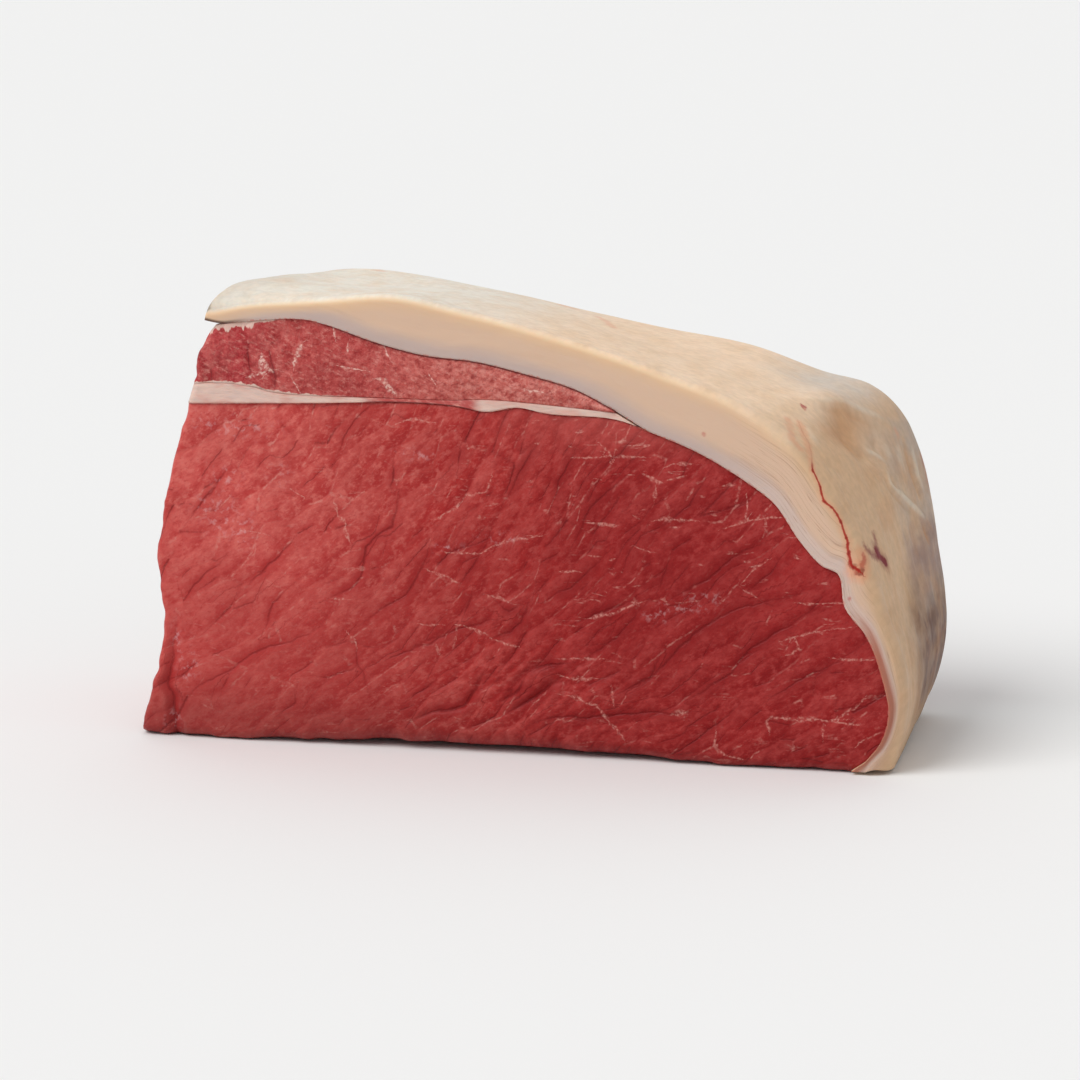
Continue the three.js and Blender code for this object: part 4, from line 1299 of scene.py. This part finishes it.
def outer_face(s, spot, run, u, w, clouds, mottle):
    """The cover's outer face: white on top at the left, cream to the right, tan with grey patches on the
    side, and browner low down, partly its own colour and partly painted shade"""
    turned = (clouds - 0.5) * 0.06 + u
    shoulder = s.ramp(turned, 0.54, 0.62) * s.ramp(w, 0.35, 0.8)
    pallor = s.ramp(abs(u - 0.63), 0.05, 0.01) * s.ramp(w, 0.55, 0.8)
    greys = s.ramp(u, 0.64, 0.72) * s.ramp(w, 0.4, 0.8) * s.ramp(clouds, 0.38, 0.56, 0.35, 1.0)
    hollow = s.ramp(abs(turned - 0.668), 0.035, 0.0) * s.ramp(abs(w - 0.45), 0.28, 0.02)
    low = (mottle + clouds - 1.0) * 0.06 + u
    # Brown low down: partly the fat's own brown, partly painted shade towards the foot
    brown_and_shade = s.ramp(low, 0.815, 0.9) * s.ramp(w, 0.08, 0.5, 0.1, 1.0) * s.ramp(u, 0.93, 0.99, 1.0, 0.4)
    purple = s.ramp(abs(low - 0.825), 0.045, 0.01) * s.ramp(w, 0.35, 0.6)
    flush = s.ramp(s.noise(spot, (0.07, 0.05, 0.07), 4), 0.46, 0.64) * s.ramp(u, 0.66, 0.74)
    # Pale membrane and painted highlight on the folds' ridges, and painted shade beside them
    fold_paleness_and_shade = (mottle - 0.5) * 0.3 + s.field("fold_paleness_and_shade")
    top = s.layers(
        "fat_top",
        (s.ramp(u, 0.22, 0.42), "fat_crown"),
        (s.ramp(mottle, 0.45, 0.7, 0.0, 0.28), "fat_crest"),
        (shoulder * 0.8, "fat_shoulder"),
        (s.ramp(turned, 0.61, 0.68), "fat_side"),
        (pallor * 0.75, "fat_shoulder"),
        (greys * 0.8, "fat_grey"),
        (hollow * 0.85, "fat_hollow"),
        (brown_and_shade * 0.9, "fat_brown_and_shade"),
        (purple * 0.55, "fat_purple"),
        (flush * 0.3, "fat_hollow"),
        (s.ramp(fold_paleness_and_shade, 0.05, 0.6, 0.0, 0.65), "fat_pale"),
        (s.ramp(fold_paleness_and_shade, -0.05, -0.9, 0.0, 0.55), "fat_hollow"),
    )
    top = s.times(top, s.ramp(u, 0.0, 0.09, 0.8, 1.0))
    top = s.mix(s.ramp(s.noise(run, 0.11, 3), 0.42, 0.62) * 0.2, top, "fat_crest")
    return s.times(top, s.ramp(s.noise(run, 0.45, 5), 0.3, 0.7, 0.94, 1.06))


def cover_material():
    s = Shader("cover_of_fat")
    spot, run = s.vector("spot"), s.vector("run")
    u, w, inner = s.field("length_share"), s.field("depth_share"), s.field("inner")
    clouds = s.noise(spot, 0.05, 4)
    mottle = s.noise(spot, (0.12, 0.045, 0.12), 4)
    streaks = s.noise(run, (0.07, 0.12, 0.5), 4, 0.3)
    cut, skin = cut_band(s, run, u, inner, streaks), outer_face(s, spot, run, u, w, clouds, mottle)
    colour = s.mix(s.field("skin"), cut, skin)
    ragged = (s.noise(spot, 0.5, 3) - 0.5) * 3.4
    torn = (s.noise(spot, (0.3, 0.5, 0.3), 4) - 0.5) * 1.6 + s.field("red_rim")
    colour = s.mix(s.ramp(torn, 0.4, 1.6, 0.0, 0.6), colour, "rim")
    for field, reach, soft, strength, name, rough in MARKS:
        edge = ragged * rough + s.field(field)
        colour = s.mix(s.ramp(edge, reach + soft, reach) * strength, colour, name)
    across = abs(s.field("vein"))
    halo = s.ramp(across, 4.0, 0.5) * s.field("vein_near")
    uneven = s.noise(spot, 0.7, 3)
    thin = across * s.ramp(uneven, 0.35, 0.65, 1.5, 0.75)
    line = s.ramp(thin, 1.2, 0.4) * s.field("vein_near")
    core = s.ramp(thin, 0.6, 0.1) * s.ramp(uneven, 0.45, 0.6)
    # Where the cut band meets the lean it is ragged, with painted shadow under the flap
    meets = s.field("floor_gap") - s.noise(spot, 0.8, 3) * 2.4
    shadow_under_flap = s.ramp(s.field("floor_gap"), 1.2, 0.3) * s.ramp(s.parts(spot)[0], -80, -92)
    colour = s.layers(
        colour,
        (halo * 0.3, "stain"),
        (line * 0.9, "blood"),
        (core * s.field("vein_near") * 0.45, "clot"),
        (s.ramp(meets, -0.9, -1.35, 0.0, 0.6), "cap_right"),
        # Painted shadow under the flap, in the colour named gap
        (shadow_under_flap * 0.85, "gap"),
    )
    gloss = s.ramp(mottle, 0.3, 0.7, 0.45, 0.6)
    return s.finish(colour, gloss, mottle * 0.5 + streaks, 0.15, Specular_IOR_Level=0.2, **FAT_SCATTER)


# Floor, lights and camera

def add_floor():
    bpy.ops.mesh.primitive_plane_add(size=FLOOR_SIZE)
    floor = bpy.context.object
    floor.name = "floor"
    floor.data.materials.append(
        Shader("pale_floor").look(Base_Color=FLOOR_SHADE, Roughness=0.9, Specular_IOR_Level=0.1))


def look_along(direction):
    """The turn that points an object's own -Z along a direction"""
    z = -direction / np.linalg.norm(direction)
    x = np.cross([0, 0, 1], z)
    x /= np.linalg.norm(x)
    return Matrix(np.column_stack([x, np.cross(z, x), z]).tolist())


def add_light(name, position, strength, softness):
    """A far lamp that shines from a position towards the part, softened by an angle in degrees"""
    data = bpy.data.lights.new(name, "SUN")
    data.energy, data.angle = strength, math.radians(softness)
    light = bpy.data.objects.new(name, data)
    light.location = position
    light.rotation_euler = look_along(-np.array(position, float)).to_euler()
    bpy.context.scene.collection.objects.link(light)


def add_world():
    world = bpy.data.worlds.new("studio")
    world.use_nodes = True
    sky = world.node_tree.nodes["Background"].inputs
    sky["Color"].default_value, sky["Strength"].default_value = (1.0, 1.0, 1.0, 1.0), SKY_STRENGTH
    bpy.context.scene.world = world


def add_camera():
    data = bpy.data.cameras.new("camera")
    data.sensor_width, data.sensor_fit = SENSOR, "HORIZONTAL"
    data.lens = FOCAL_PX * SENSOR / PICTURE
    data.clip_end = CLIP_END
    camera = bpy.data.objects.new("camera", data)
    camera.location = EYE_POINT * METRES
    camera.rotation_euler = Matrix(np.column_stack([RIGHT, UP, BACK]).tolist()).to_euler()
    bpy.context.scene.collection.objects.link(camera)
    bpy.context.scene.camera = camera


add_camera()
add_floor()
add_world()
for lamp in LIGHTS:
    add_light(*lamp)
bpy.context.scene.view_settings.view_transform = "Standard"

PIECES = [
    (build_eye, eye_material, "eye_muscle", "lean"),
    (build_cap, cap_material, "cap_muscle", "cap_lean"),
    (build_seam, seam_material, "seam_fat", "seam"),
    (build_cover, cover_material, "fat_cover", "fat"),
]
for build, make_material, node, slot in PIECES:
    piece = build(make_material())
    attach(piece, "root")
    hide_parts(node)
